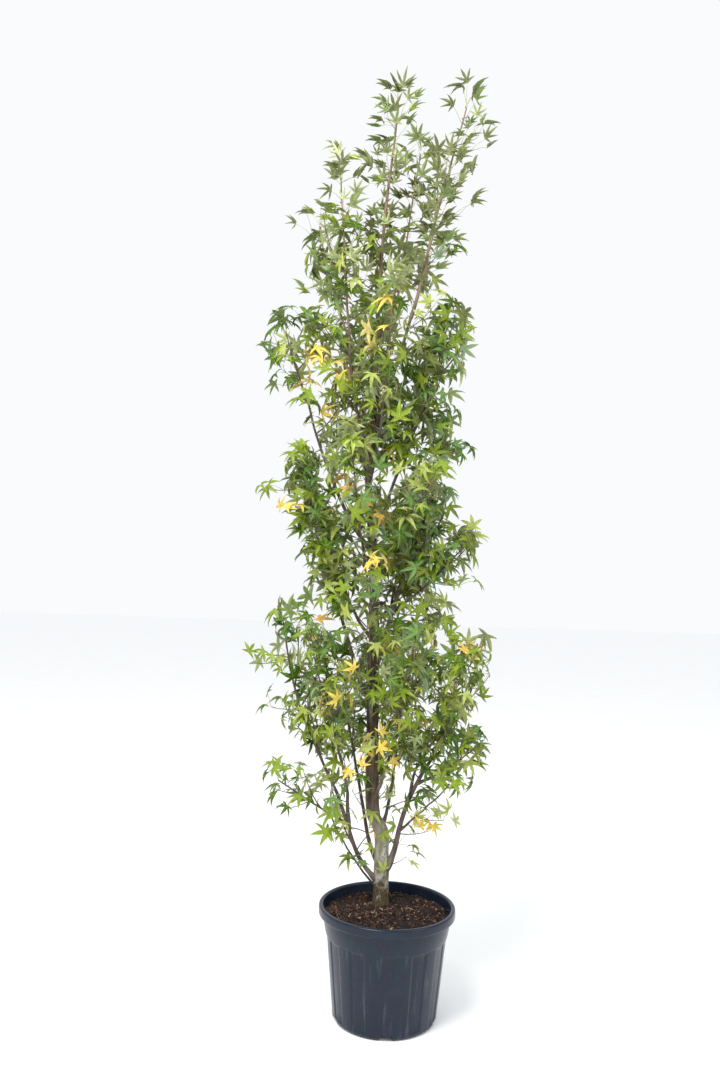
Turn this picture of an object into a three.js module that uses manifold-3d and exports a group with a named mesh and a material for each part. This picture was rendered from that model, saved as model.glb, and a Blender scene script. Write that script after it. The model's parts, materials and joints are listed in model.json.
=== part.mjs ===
// A young sweetgum, about three and a half metres tall, in a round 50-litre nursery pot.
// Millimetres, +Z up. The origin is the middle of the pot's flat underside, and -Y is the front.
// The trunk runs up through the whole crown. Slender boughs leave it one above the other, sweep up
// beside it, and each ends in a mass of twigs and star-shaped leaves that keeps to its own space.

import * as THREE from 'three';
import { mergeVertices } from 'three/addons/utils/BufferGeometryUtils.js';
import Module from 'manifold-3d';

const wasm = await Module();
wasm.setup();

// ---------------------------------------------------------------------------------------------
// Driving dimensions

const GAP = 0.3; // clear space between two parts that meet
const RAD = Math.PI / 180;
const GOLDEN_ANGLE = 137.5; // between one twig or leaf and the next up a stem

const POT = {
  height: 392,
  baseRadius: 186,
  bevel: 14,
  wall: 4,
  floor: 22, // raised, so that the notches stay under it
  bandFoot: 293, // the fluted wall ends here, under a plain band that widens upwards
  wallRadius: 216, // of the fluted wall, there
  bandRadius: 219, // of the band, there
  bandTopRadius: 229, // of the band, under the collar
  collarFoot: 359, // the collar hangs from the rim down to here
  collarRadius: 246,
  lip: 5, // bevel of the collar's edges
  mouthRadius: 230,
  flutes: 12,
  fluteDepth: 3,
  fluteFoot: 24,
  fluteEdge: 2, // degrees taken by each sloping edge of a flute
  firstFlute: 8.5, // degrees from +X
  notches: 5,
  notchWidth: 48,
  notchHeight: 18,
  notchDepth: 40,
  firstNotch: -90, // degrees from +X
};

const SOIL = {
  level: 357, // at the wall
  mound: 366, // round the trunk's foot
  moundTop: 52,
  moundFoot: 140,
};

// The trunk's middle line and thickness. Each row: height, sideways offset, radius.
const TRUNK = {
  depth: 70, // it stands a little behind the pot's middle
  bareTo: 2740,
  sides: 10,
  rings: 17,
  rows: [
    [366.3, -20, 32],
    [400, -21, 28.5],
    [560, -22, 26],
    [625, -25, 25.5],
    [655, -37, 25],
    [680, -54, 24.5],
    [710, -60, 24],
    [790, -64, 23.5],
    [900, -68, 22.5],
    [1370, -75, 19],
    [1650, -86, 15],
    [1900, -110, 12.5],
    [2240, -96, 9.5],
    [2490, -98, 7.5],
    [2800, -87, 6],
    [3030, -73, 5],
    [3240, -52, 4],
    [3405, -40, 2.5],
  ],
  spread: 160,
};

// The boughs. on: the limb it grows from; from: the height where it leaves that limb; heading: degrees
// from +X towards +Y; reach and top: how far out and how high its leader ends; elbow: how much of that
// reach it takes at once, before it turns up; bow: above 1 the rest leans out first and then turns up;
// sway: its S-bend; girth: radius at its foot; bare: the share of its rise that is bare bough, the
// rest being the stem of its mass of leaves; spread: that mass's radius round its stem.
const BOUGH_COLUMNS = [
  'name', 'on', 'from', 'heading', 'reach', 'top', 'elbow', 'bow', 'sway', 'girth', 'bare', 'spread',
];
const BOUGHS = [
  ['left_outer', 'trunk', 440, -171, 394, 1395, 95, 1, -25, 8.5, 0.38, 175],
  ['left_inner', 'left_outer', 640, -127, 166, 1286, 0, 1, -20, 6.5, 0.2, 165],
  ['left_middle', 'trunk', 500, 142, 200, 1226, 75, 1, -15, 8, 0.36, 165],
  ['left_low', 'left_outer', 662, -176, 257, 815, 0, 1.1, 5, 3.8, 0.35, 150],
  ['right_low', 'trunk', 475, -24, 270, 1297, 62, 1, -35, 11, 0.46, 165],
  ['right_shoot', 'right_low', 640, -26, 190, 835, 0, 1.1, 0, 3.8, 0.15, 130],
  ['right_spur', 'right_low', 820, -18, 210, 970, 0, 1.2, 4, 4.5, 0.2, 150],
  ['right_outer', 'right_low', 765, 24, 262, 1240, 0, 1, -38, 5, 0.2, 150],
  ['right_inner', 'trunk', 640, 49, 170, 1331, 65, 1, -25, 7, 0.22, 165],
  ['front_low', 'trunk', 740, -62, 262, 1320, 30, 1.2, 0, 6.5, 0.2, 165],
  ['back_low', 'trunk', 620, 100, 316, 1200, 50, 1.2, 0, 7.5, 0.25, 180],
  ['front_middle', 'trunk', 1010, -96, 265, 1560, 30, 1.2, 0, 6, 0.15, 165],
  ['left_lobe', 'trunk', 1093, -170, 303, 1991, 40, 1, -8, 8.5, 0.3, 180],
  ['back_right', 'trunk', 1200, 66, 306, 1893, 40, 1.2, 0, 7.5, 0.2, 180],
  ['right_middle', 'trunk', 1275, 12, 248, 2165, 40, 1.2, -16, 9.5, 0.25, 165],
  ['right_wing', 'right_middle', 1440, -20, 265, 1690, 0, 1.2, 4, 4.5, 0.3, 160],
  ['back_left', 'trunk', 1335, 143, 288, 1791, 30, 1.15, 6, 6.5, 0.2, 170],
  ['front_right', 'trunk', 1605, -41, 254, 1920, 20, 1.2, 6, 6, 0.2, 165],
  ['front_left', 'trunk', 1480, -112, 275, 2040, 30, 1.2, 6, 6, 0.2, 165],
  ['left_leader', 'trunk', 1665, -177, 355, 2490, 30, 1.25, 10, 7.5, 0.35, 165],
  ['right_leader', 'trunk', 1729, -4, 265, 2554, 20, 1.15, -8, 7, 0.25, 165],
  ['back_leader', 'trunk', 1780, 104, 250, 2584, 30, 1.25, 8, 7, 0.25, 165],
  ['front_leader', 'trunk', 1930, -72, 235, 2600, 30, 1.25, 8, 6.5, 0.2, 160],
  ['top_left', 'trunk', 2000, -166, 150, 3100, 20, 1.5, 6, 7, 0.48, 150],
  ['top_far_left', 'top_left', 2470, 150, 150, 2930, 0, 1.3, 4, 4, 0.35, 150],
  ['top_right', 'trunk', 2091, -2, 325, 3385, 0, 1.1, 8, 8, 0.42, 155],
  ['top_far_right', 'top_right', 2560, -22, 125, 3130, 0, 1.3, 4, 5, 0.3, 155],
  ['top_middle', 'trunk', 2244, 24, 165, 3240, 0, 1.2, 6, 6, 0.4, 150],
].map((row) => Object.fromEntries(BOUGH_COLUMNS.map((column, i) => [column, row[i]])));

const LIMB_TIP = 3; // radius at the very end of every leader
const ELBOW_TURN = 12; // the higher, the sooner a bough has turned up from its elbow
const BOUGH_SIDES = 6;
const BOUGH_RING = 130; // between two rings of a bough, on average
const FOOT_EASE = 1.7; // above 1 the rings crowd towards a bough's foot, where it bends most
const STEM_SIDES = 3;
const STEM_RING = 260; // between two rings of a mass's stem

// A twig ends in a leaf and carries another at its side.
const TWIG = {
  spacing: 110, // along the stem
  reach: 0.62, // length, as a share of the mass's spread
  rise: 40, // degrees
  radius: 1.8,
  sideLeaf: 0.5, // how far along it the side leaf grows
};

// A leaf is a thin star on a stalk. rim: the lobe tips and the notches between them, as the angle from
// the middle lobe and a share of that lobe's length. The last notch is where the stalk comes in.
const LEAF = {
  length: 112,
  stalk: 45,
  stalkRadius: 1,
  neck: 3, // half the stalk's width where it meets the blade
  thick: 4.5,
  droop: 0.25,
  rim: [[0, 1], [27, 0.36], [54, 0.95], [86, 0.33], [114, 0.7], [180, 0.2]],
  spacing: 80, // between leaves that grow straight from a stem
  room: 1.02, // its length with the room kept round it
  clear: 3, // its thickness with that room, less its own
  tries: 12,
};

const FRUIT = {
  radius: 15,
  stalk: 45,
  stalkRadius: 1.6,
};

// The fruits. mass: whose stem it hangs from; share: how far up that stem; heading and rise: which way
// its stalk points.
const FRUIT_COLUMNS = ['mass', 'share', 'heading', 'rise'];
const FRUITS = [
  ['front_leader', 0.75, 180, -30],
  ['right_wing', 0.78, 200, -25],
  ['front_left', 0.9, -30, -20],
].map((row) => Object.fromEntries(FRUIT_COLUMNS.map((column, i) => [column, row[i]])));

const COLOURS = {
  pot: 0x353a43,
  soil: 0x3f281b,
  bark: 0x6d6152,
  bough: 0x4f443b,
  leaves: [0x4d7d2b, 0x5b8a30, 0x3f6f2c, 0x6f9638, 0x55852f],
};

// ---------------------------------------------------------------------------------------------
// Solids

// A closed geometry as a solid that can be joined and cut.
function solid(geometry) {
  const bare = geometry.clone();
  bare.deleteAttribute('normal');
  bare.deleteAttribute('uv');
  const merged = mergeVertices(bare, 1e-4);
  const mesh = new wasm.Mesh({
    numProp: 3,
    vertProperties: new Float32Array(merged.getAttribute('position').array),
    triVerts: new Uint32Array(merged.getIndex().array),
  });
  return new wasm.Manifold(mesh);
}

// The solid's largest body, without the scraps that a cut leaves.
function mainBody(made) {
  return made.decompose().reduce((a, b) => (a.volume() >= b.volume() ? a : b));
}

function join(solids) {
  return solids.reduce((all, one) => all.add(one));
}

function meshOf(name, made, colour, roughness) {
  const shape = made.getMesh();
  const geometry = new THREE.BufferGeometry();
  geometry.setAttribute('position', new THREE.BufferAttribute(shape.vertProperties, 3));
  geometry.setIndex(new THREE.BufferAttribute(shape.triVerts, 1));
  geometry.computeVertexNormals();
  const material = new THREE.MeshStandardMaterial({ color: colour, roughness, metalness: 0 });
  const mesh = new THREE.Mesh(geometry, material);
  mesh.name = name;
  return mesh;
}

// A repeatable stream of numbers: each call gives one between low and high.
function stream(seed) {
  let state = Math.imul(seed + 1, 2654435761) >>> 0;
  return (low, high) => {
    state = (Math.imul(state, 1664525) + 1013904223) >>> 0;
    return low + (high - low) * (state / 4294967296);
  };
}

// ---------------------------------------------------------------------------------------------
// The pot and its soil

// The radius of the pot's fluted wall at a height.
function potWall(z) {
  return POT.baseRadius + (POT.wallRadius - POT.baseRadius) * (z / POT.bandFoot);
}

// The radius of the room inside the pot at a height, under its collar.
function potInside(z) {
  if (z <= POT.bandFoot) {
    return potWall(z) - POT.wall - POT.fluteDepth;
  }
  const foot = potInside(POT.bandFoot);
  const share = (z - POT.bandFoot) / (POT.collarFoot - POT.bandFoot);
  return foot + (POT.bandTopRadius - POT.wall - foot) * share;
}

// The pot's outline from the middle of its underside, up the outside, over the rim and down inside.
// Each point: radius, height, and whether the flutes shape it.
function potOutline() {
  const { baseRadius, bevel, height, lip, collarRadius, collarFoot, bandFoot } = POT;
  return [
    [0, 0, false],
    [baseRadius - bevel, 0, false],
    [potWall(bevel), bevel, false],
    [potWall(POT.fluteFoot), POT.fluteFoot, true],
    [potWall(bandFoot - lip), bandFoot - lip, true],
    [POT.bandRadius, bandFoot, false],
    [POT.bandTopRadius, collarFoot, false],
    [collarRadius, collarFoot + lip, false],
    [collarRadius, height - lip, false],
    [collarRadius - lip, height, false],
    [POT.mouthRadius, height, false],
    [potInside(collarFoot), collarFoot, false],
    [potInside(bandFoot), bandFoot, false],
    [potInside(POT.floor), POT.floor, false],
    [0, POT.floor, false],
  ];
}

// A turned pot whose wall has flat flutes: in each, a proud face, an edge, a sunk face and an edge.
function pot() {
  const outline = potOutline();
  const segments = POT.flutes * 4;
  const points = outline.map(([r, z]) => new THREE.Vector2(r, z));
  const turned = new THREE.LatheGeometry(points, segments);
  const position = turned.getAttribute('position');
  const period = 360 / POT.flutes;
  const face = period / 2 - POT.fluteEdge;
  const corners = [0, face, period / 2, period / 2 + face];
  for (let i = 0; i < position.count; i += 1) {
    const [radius, height, fluted] = outline[i % outline.length];
    const turn = Math.floor(i / outline.length) % segments;
    const corner = turn % 4;
    const swing = fluted ? Math.floor(turn / 4) * period + corners[corner] : (turn * 360) / segments;
    const angle = POT.firstFlute + swing;
    const r = fluted && corner >= 2 ? radius - POT.fluteDepth : radius;
    position.setXYZ(i, r * Math.cos(angle * RAD), r * Math.sin(angle * RAD), height);
  }
  let made = solid(turned);
  for (let i = 0; i < POT.notches; i += 1) {
    const box = new THREE.BoxGeometry(POT.notchDepth * 2, POT.notchWidth, POT.notchHeight * 2);
    box.translate(POT.baseRadius, 0, 0);
    box.rotateZ((POT.firstNotch + (i * 360) / POT.notches) * RAD);
    made = made.subtract(solid(box));
  }
  return made;
}

// The soil fills the pot to a little under its rim, with a low mound round the trunk's foot.
function soil() {
  const foot = POT.floor + GAP;
  const outline = [
    new THREE.Vector2(0, foot),
    new THREE.Vector2(potInside(foot) - 2 * GAP, foot),
    new THREE.Vector2(potInside(POT.bandFoot) - 2 * GAP, POT.bandFoot),
    new THREE.Vector2(potInside(SOIL.level) - 2 * GAP, SOIL.level),
    new THREE.Vector2(0, SOIL.level),
  ];
  const fill = new THREE.LatheGeometry(outline, 32).rotateX(90 * RAD);
  const rise = SOIL.mound - SOIL.level + 2;
  const mound = new THREE.CylinderGeometry(SOIL.moundTop, SOIL.moundFoot, rise, 20).rotateX(90 * RAD);
  mound.translate(TRUNK.rows[0][1], TRUNK.depth, SOIL.mound - rise / 2);
  return solid(fill).add(solid(mound));
}

// ---------------------------------------------------------------------------------------------
// Limbs

// A smooth value from the rows of a table, in one column, at a place along its first column.
function along(rows, at, column) {
  const next = rows.findIndex((row) => row[0] > at);
  const i = next < 0 ? rows.length - 1 : Math.max(next, 1);
  const slope = (k) => {
    const a = rows[Math.max(k - 1, 0)];
    const b = rows[Math.min(k + 1, rows.length - 1)];
    return (b[column] - a[column]) / (b[0] - a[0]);
  };
  const width = rows[i][0] - rows[i - 1][0];
  const s = (at - rows[i - 1][0]) / width;
  const start = rows[i - 1][column] * (1 + 2 * s) + slope(i - 1) * width * s;
  const end = rows[i][column] * (3 - 2 * s) - slope(i) * width * (1 - s);
  return start * (1 - s) ** 2 + end * s ** 2;
}

// A limb rises evenly from its foot to its tip: t is the share of its rise.
class Limb extends THREE.Curve {
  constructor(foot, top) {
    super();
    this.foot = foot;
    this.top = top;
  }

  atHeight(z) {
    return this.getPoint((z - this.foot) / (this.top - this.foot));
  }

  // Where on the leafy part a share of it lies.
  leafy(share) {
    return this.bare + (1 - this.bare) * share;
  }

  leafyLength() {
    return this.getPoint(this.bare).distanceTo(this.getPoint(1));
  }
}

class Trunk extends Limb {
  constructor() {
    super(TRUNK.rows[0][0], TRUNK.rows.at(-1)[0]);
    this.side = new THREE.Vector3(0, 1, 0);
    this.bare = (TRUNK.bareTo - this.foot) / (this.top - this.foot);
    this.spread = TRUNK.spread;
  }

  getPoint(t) {
    const z = this.foot + t * (this.top - this.foot);
    return new THREE.Vector3(along(TRUNK.rows, z, 1), TRUNK.depth, z);
  }

  radius(t) {
    return along(TRUNK.rows, this.foot + t * (this.top - this.foot), 2);
  }

  // The trunk's rings lie level, so that its foot is flat on the soil.
  across() {
    return new THREE.Vector3(1, 0, 0);
  }
}

class Bough extends Limb {
  constructor(row, parent) {
    super(row.from, row.top);
    Object.assign(this, row);
    this.parent = parent;
    this.root = parent.atHeight(row.from);
    this.out = new THREE.Vector3(Math.cos(row.heading * RAD), Math.sin(row.heading * RAD), 0);
    this.side = new THREE.Vector3(-this.out.y, this.out.x, 0);
  }

  getPoint(t) {
    const left = 1 - Math.min(t, 1);
    const step = this.elbow * (1 - left ** ELBOW_TURN);
    const sweep = (this.reach - this.elbow) * (1 - left ** this.bow);
    const run = step + sweep + this.sway * Math.sin(2 * Math.PI * t);
    const point = this.root.clone().addScaledVector(this.out, run);
    return point.setZ(this.from + t * (this.top - this.from));
  }

  radius(t) {
    return this.girth + (LIMB_TIP - this.girth) * t ** 0.8;
  }

  // The direction across the bough, square to its side.
  across(t) {
    return new THREE.Vector3().crossVectors(this.side, this.getTangent(t));
  }
}

// A length of a limb as a closed tapering tube: a unit cylinder bent along it, its rings crowding
// towards its start by the ease.
function tube(limb, start, end, sides, rings, ease, extra = 0) {
  const made = new THREE.CylinderGeometry(1, 1, 1, sides, rings);
  const position = made.getAttribute('position');
  const spot = new THREE.Vector3();
  for (let i = 0; i < position.count; i += 1) {
    spot.fromBufferAttribute(position, i);
    const t = start + (end - start) * (spot.y + 0.5) ** ease;
    const radius = limb.radius(t) + extra;
    const place = limb.getPoint(t);
    place.addScaledVector(limb.side, spot.x * radius).addScaledVector(limb.across(t), spot.z * radius);
    position.setXYZ(i, place.x, place.y, place.z);
  }
  return solid(made);
}

function ringsFor(limb, start, end, length) {
  const far = limb.getPoint(start).distanceTo(limb.getPoint(end));
  return Math.max(2, Math.round(far / length));
}

// The bare part of a limb, or the same grown a little, to cut what meets it.
function bareTube(limb, extra = 0) {
  const sides = limb.parent ? BOUGH_SIDES : TRUNK.sides;
  const rings = limb.parent ? ringsFor(limb, 0, limb.bare, BOUGH_RING) : TRUNK.rings;
  return tube(limb, 0, limb.bare, sides, rings, limb.parent ? FOOT_EASE : 1, extra);
}

// A bough's foot is cut to the face of the limb that carries it.
function boughSolid(bough) {
  return mainBody(bareTube(bough).subtract(bareTube(bough.parent, GAP)));
}

// The stem of a mass of leaves carries on from its limb's end, a gap clear of it.
function stemSolid(limb) {
  const start = limb.leafy(GAP / limb.leafyLength());
  return tube(limb, start, 1, STEM_SIDES, ringsFor(limb, start, 1, STEM_RING), 1);
}

// ---------------------------------------------------------------------------------------------
// Leaves and fruit

// A direction by its heading and its rise over the level, in degrees.
function direction(heading, rise) {
  const level = Math.cos(rise * RAD);
  const [x, y] = [level * Math.cos(heading * RAD), level * Math.sin(heading * RAD)];
  return new THREE.Vector3(x, y, Math.sin(rise * RAD));
}

// The rim of a blade of unit length in XY, with its middle lobe along +Y, its lobes drooping: from one
// side of the stalk round to the other.
function bladeRim() {
  const half = LEAF.rim.map(([angle, share]) => [angle * RAD, share]);
  const other = half.slice(1).map(([angle, share]) => [-angle, share]).reverse();
  const rim = [...other, ...half].map(
    ([angle, share]) => new THREE.Vector3(share * Math.sin(angle), share * Math.cos(angle), -LEAF.droop * share ** 2),
  );
  rim[0].x = -LEAF.neck / LEAF.length;
  rim.at(-1).x = LEAF.neck / LEAF.length;
  return rim;
}

const RIM = bladeRim();

// A leaf as one closed body: an upper and a lower fan from the middle of the blade to its rim, and a
// three-sided stalk that widens into the underside. place moves the blade, foot is the stalk's start.
function leafGeometry(place, foot, length, thick, footRadius) {
  const points = [
    new THREE.Vector3(0, 0, thick / 2),
    new THREE.Vector3(0, 0, -thick / 2),
    ...RIM.map((point) => point.clone().multiplyScalar(length)),
  ].map((point) => point.applyMatrix4(place));
  const across = new THREE.Vector3().setFromMatrixColumn(place, 0);
  const back = new THREE.Vector3().subVectors(foot, points[1]).normalize();
  const below = new THREE.Vector3().crossVectors(across, back).normalize().multiplyScalar(footRadius);
  across.crossVectors(back, below).setLength(footRadius);
  points.push(foot.clone().add(across).addScaledVector(below, -0.5));
  points.push(foot.clone().sub(across).addScaledVector(below, -0.5));
  points.push(foot.clone().add(below));
  const [top, under, first] = [0, 1, 2];
  const last = first + RIM.length - 1;
  const faces = [top, first, last];
  for (let i = first; i < last; i += 1) {
    faces.push(top, i + 1, i, under, i, i + 1);
  }
  const near = [last, first, under];
  const far = [last + 1, last + 2, last + 3];
  near.forEach((corner, k) => {
    const next = (k + 1) % 3;
    faces.push(corner, near[next], far[next], corner, far[next], far[k]);
  });
  faces.push(...far);
  return new THREE.BufferGeometry().setFromPoints(points).setIndex(faces);
}

// A straight three-sided rod from one point to another.
function rod(from, to, radius) {
  const way = new THREE.Vector3().subVectors(to, from);
  const made = new THREE.CylinderGeometry(radius, radius, way.length(), 3);
  made.applyQuaternion(new THREE.Quaternion().setFromUnitVectors(new THREE.Vector3(0, 1, 0), way.normalize()));
  const middle = new THREE.Vector3().addVectors(from, to).multiplyScalar(0.5);
  return made.translate(middle.x, middle.y, middle.z);
}

// What is already in place: each entry has a solid, its box and the thing that it belongs to.
const placed = [];

function boxOf(made) {
  const { min, max } = made.boundingBox();
  return new THREE.Box3(new THREE.Vector3(...min), new THREE.Vector3(...max));
}

function place(made, owner) {
  placed.push({ made, box: boxOf(made), owner });
}

// Whether a solid is clear of everything in place, apart from what carries it.
function isClear(made, carrier) {
  const box = boxOf(made);
  const near = placed.filter((other) => other.owner !== carrier && other.box.intersectsBox(box));
  return near.every((other) => made.intersect(other.made).isEmpty());
}

// ---------------------------------------------------------------------------------------------
// Masses of leaves

class Mass {
  constructor(name, limb, seed) {
    this.name = name;
    this.limb = limb;
    this.random = stream(seed);
    this.stem = stemSolid(limb);
    this.parts = [this.stem];
    this.places = [];
    place(this.stem, this.stem);
    this.plan();
  }

  // The places where leaves grow: two at the stem's tip, and then twigs and leaves up the stem, each
  // turned by the golden angle from the last.
  plan() {
    const { limb, random, stem } = this;
    const length = limb.leafyLength();
    const twigs = Math.max(1, Math.round(length / TWIG.spacing));
    const leaves = Math.max(1, Math.round(length / LEAF.spacing));
    const start = random(0, 360);
    const tip = limb.getPoint(0.995);
    this.places.push({ from: tip, heading: start, rise: 70, stalk: LEAF.stalk, carrier: stem });
    this.places.push({ from: tip, heading: start + 160, rise: 45, stalk: LEAF.stalk, carrier: stem });
    for (let i = 0; i < twigs; i += 1) {
      const share = (i + 0.2) / twigs;
      const from = limb.getPoint(limb.leafy(share));
      const stalk = limb.spread * TWIG.reach * (1.1 - 0.6 * share);
      const heading = start + i * GOLDEN_ANGLE;
      this.places.push({ from, heading, rise: TWIG.rise, stalk, carrier: stem, twig: true });
    }
    for (let i = 0; i < leaves; i += 1) {
      const from = limb.getPoint(limb.leafy((i + 0.6) / leaves) * 0.995);
      const heading = start + 80 + i * GOLDEN_ANGLE;
      this.places.push({ from, heading, rise: 30, stalk: LEAF.stalk, carrier: stem });
    }
  }

  isInside(point) {
    const { limb } = this;
    for (let share = 0; share <= 1; share += 0.1) {
      if (limb.getPoint(limb.leafy(share)).distanceTo(point) < limb.spread) {
        return true;
      }
    }
    return false;
  }

  // One leaf: its stalk sunk in what carries it, its blade bent over at the stalk's end. A leaf that
  // would leave the mass's space, or touch anything else, is turned, and at last left out.
  growLeaf(spot) {
    const { random } = this;
    const upright = spot.from.z > TRUNK.bareTo;
    for (let n = 0; n < LEAF.tries; n += 1) {
      const length = LEAF.length * random(0.85, 1.1);
      const heading = spot.heading + random(-25, 25) + n * 40;
      const rise = spot.rise + random(-10, 10);
      const palm = spot.from.clone().addScaledVector(direction(heading, rise), spot.stalk * random(0.9, 1.15));
      const bend = upright ? random(-20, 25) : random(45, 95);
      const midrib = direction(heading + random(-20, 20), rise - bend);
      const turn = this.bladePlace(midrib, direction(heading - 90, random(-30, 30)), palm);
      const radius = spot.twig ? TWIG.radius : LEAF.stalkRadius;
      const tip = palm.clone().addScaledVector(midrib, length);
      const [roomy, thick] = [length * LEAF.room, LEAF.thick + LEAF.clear];
      const blade = solid(leafGeometry(turn, palm, roomy, thick, LEAF.stalkRadius));
      const whole = solid(leafGeometry(turn, spot.from, roomy, thick, radius + LEAF.clear / 2));
      if (this.isInside(tip) && isClear(blade, null) && isClear(whole, spot.carrier)) {
        const leaf = solid(leafGeometry(turn, spot.from, length, LEAF.thick, radius));
        place(leaf, leaf);
        this.parts.push(leaf);
        if (spot.twig) {
          const from = spot.from.clone().lerp(palm, TWIG.sideLeaf);
          this.places.push({ from, heading: heading + 95, rise: 20, stalk: LEAF.stalk, carrier: leaf });
        }
        return;
      }
    }
  }

  // The frame of a blade: its middle lobe along midrib, its side as near as can be to the one given.
  bladePlace(midrib, side, palm) {
    const normal = new THREE.Vector3().crossVectors(side, midrib).normalize();
    const across = new THREE.Vector3().crossVectors(midrib, normal);
    return new THREE.Matrix4().makeBasis(across, midrib, normal).setPosition(palm);
  }

  // A round fruit that hangs on its stalk from the stem.
  growFruit({ share, heading, rise }) {
    const from = this.limb.getPoint(this.limb.leafy(share));
    const to = from.clone().addScaledVector(direction(heading, rise), FRUIT.stalk);
    const ball = solid(new THREE.OctahedronGeometry(FRUIT.radius, 1).translate(to.x, to.y, to.z));
    const stalk = solid(rod(from, to, FRUIT.stalkRadius));
    place(ball, ball);
    place(stalk, ball);
    this.parts.push(stalk, ball);
  }

  solid() {
    return mainBody(join(this.parts));
  }
}

// ---------------------------------------------------------------------------------------------
// The whole plant

const tree = new THREE.Group();
tree.name = 'potted_sweetgum';
tree.add(meshOf('pot', pot(), COLOURS.pot, 0.45));
tree.add(meshOf('soil', soil(), COLOURS.soil, 1));

const trunk = new Trunk();
const limbs = { trunk };
const trunkSolid = bareTube(trunk);
place(trunkSolid, trunk);
tree.add(meshOf('trunk', trunkSolid, COLOURS.bark, 0.9));

for (const row of BOUGHS) {
  const bough = new Bough(row, limbs[row.on]);
  const made = boughSolid(bough);
  limbs[row.name] = bough;
  place(made, bough);
  tree.add(meshOf(`bough_${row.name}`, made, COLOURS.bough, 0.9));
}

const masses = Object.entries(limbs).map(([name, limb], i) => new Mass(name, limb, i));
FRUITS.forEach((fruit) => masses.find((mass) => mass.name === fruit.mass).growFruit(fruit));
for (let i = 0; masses.some((mass) => mass.places[i]); i += 1) {
  masses.filter((mass) => mass.places[i]).forEach((mass) => mass.growLeaf(mass.places[i]));
}
masses.forEach((mass, i) => {
  const name = mass.limb === trunk ? 'leaves_top_centre' : `leaves_${mass.name}`;
  tree.add(meshOf(name, mass.solid(), COLOURS.leaves[i % COLOURS.leaves.length], 0.7));
});

export default tree;
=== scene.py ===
"""A young sweetgum in its nursery pot, dressed over its CAD frame. Metres, +Z up, -Y is the front."""
import json
import math

import bpy
import numpy as np
from mathutils import Matrix, Vector
from mathutils.bvhtree import BVHTree

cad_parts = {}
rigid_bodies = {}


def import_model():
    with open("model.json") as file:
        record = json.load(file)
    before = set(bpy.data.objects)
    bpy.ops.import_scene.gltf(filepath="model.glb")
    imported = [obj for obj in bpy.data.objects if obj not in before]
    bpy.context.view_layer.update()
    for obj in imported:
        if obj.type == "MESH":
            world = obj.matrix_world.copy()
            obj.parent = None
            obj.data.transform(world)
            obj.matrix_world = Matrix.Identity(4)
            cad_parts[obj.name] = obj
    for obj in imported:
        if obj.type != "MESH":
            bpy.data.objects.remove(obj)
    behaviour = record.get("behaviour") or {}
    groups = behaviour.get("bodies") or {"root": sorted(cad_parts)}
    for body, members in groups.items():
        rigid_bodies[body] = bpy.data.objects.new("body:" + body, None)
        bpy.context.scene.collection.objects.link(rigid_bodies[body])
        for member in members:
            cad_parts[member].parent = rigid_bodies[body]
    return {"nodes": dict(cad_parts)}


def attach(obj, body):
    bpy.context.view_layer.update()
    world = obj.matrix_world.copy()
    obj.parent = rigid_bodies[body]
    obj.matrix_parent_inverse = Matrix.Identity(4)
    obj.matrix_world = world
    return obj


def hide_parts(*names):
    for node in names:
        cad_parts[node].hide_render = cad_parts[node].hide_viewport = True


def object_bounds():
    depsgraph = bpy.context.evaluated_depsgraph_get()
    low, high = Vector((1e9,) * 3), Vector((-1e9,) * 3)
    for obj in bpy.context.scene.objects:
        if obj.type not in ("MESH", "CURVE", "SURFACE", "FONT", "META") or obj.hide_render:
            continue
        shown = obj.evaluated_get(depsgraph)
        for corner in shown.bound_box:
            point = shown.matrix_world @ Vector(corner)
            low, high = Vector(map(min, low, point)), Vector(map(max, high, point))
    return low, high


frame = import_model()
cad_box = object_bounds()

# ---- Driving dimensions, in metres unless a line says otherwise

MM = 0.001
GOLDEN_ANGLE = 137.5  # degrees, between one twig or leaf and the next up a stem

CAMERA = {
    "place": (-0.1374, -3.1986, 1.5492),
    "pitch": 0.04877,  # radians, looking a little up
    "roll": 0.03041,
    "lens": 28.92,  # mm, on 36 mm for the long side
}

# The pot and its soil, as in the solids: millimetres and degrees.
POT = {
    "height": 392, "base_radius": 186, "bevel": 14, "wall": 4, "wall_radius": 216, "mouth_radius": 230,
    "band_foot": 293, "band_radius": 219, "band_top_radius": 229, "collar_foot": 359, "collar_radius": 246,
    "flutes": 12, "flute_depth": 3, "first_flute": 8.5, "flute_edge": 1.2,
    "notches": 5, "notch_width": 48, "notch_height": 18, "notch_depth": 40, "first_notch": -90,
}
POT_COLUMNS = 36  # of points, to one flute
SOIL = {"radius": 224.4, "level": 357, "mound": 366, "mound_top": 52, "mound_foot": 140}
SOIL_GRID = (46, 120)  # rings, and points round each
SOIL_LUMPS = ((18, 3.2, 2), (60, 1.8, 4))  # lumps to a metre, millimetres high, and a seed
CHIPS = {
    "count": 5200,
    "sizes": ((2.2, 8.5), (1.3, 4.2), (0.5, 1.6)),  # mm: half of the length, width and thickness
    "corner": (0.45, 1.1),  # how far in or out of that box a corner lies
    "tilts": (0.45, 0.5),  # radians, about the chip's width and length
    "lift": 2.5,  # mm, at the most
    "within": 0.985,  # of the soil's radius
    "clear": 36,  # mm round the middle of the trunk
    "coarse_at": (-0.09, -0.09, 0.07),  # metres: where the large ones lie, and how far round it
    "growth": (0.7, 0.6),  # their least size, and how much larger the coarse ones are
    "patches": 11,  # damp ones, to a metre
    "damp": 0.55,  # of the chips in a damp patch are made dark
}
# The chips' tints, and the share that each has.
CHIP_TINTS = (
    ((0.013, 0.0065, 0.0045), 0.46), ((0.042, 0.018, 0.011), 0.32),
    ((0.13, 0.05, 0.029), 0.15), ((0.34, 0.2, 0.115), 0.07),
)

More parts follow.
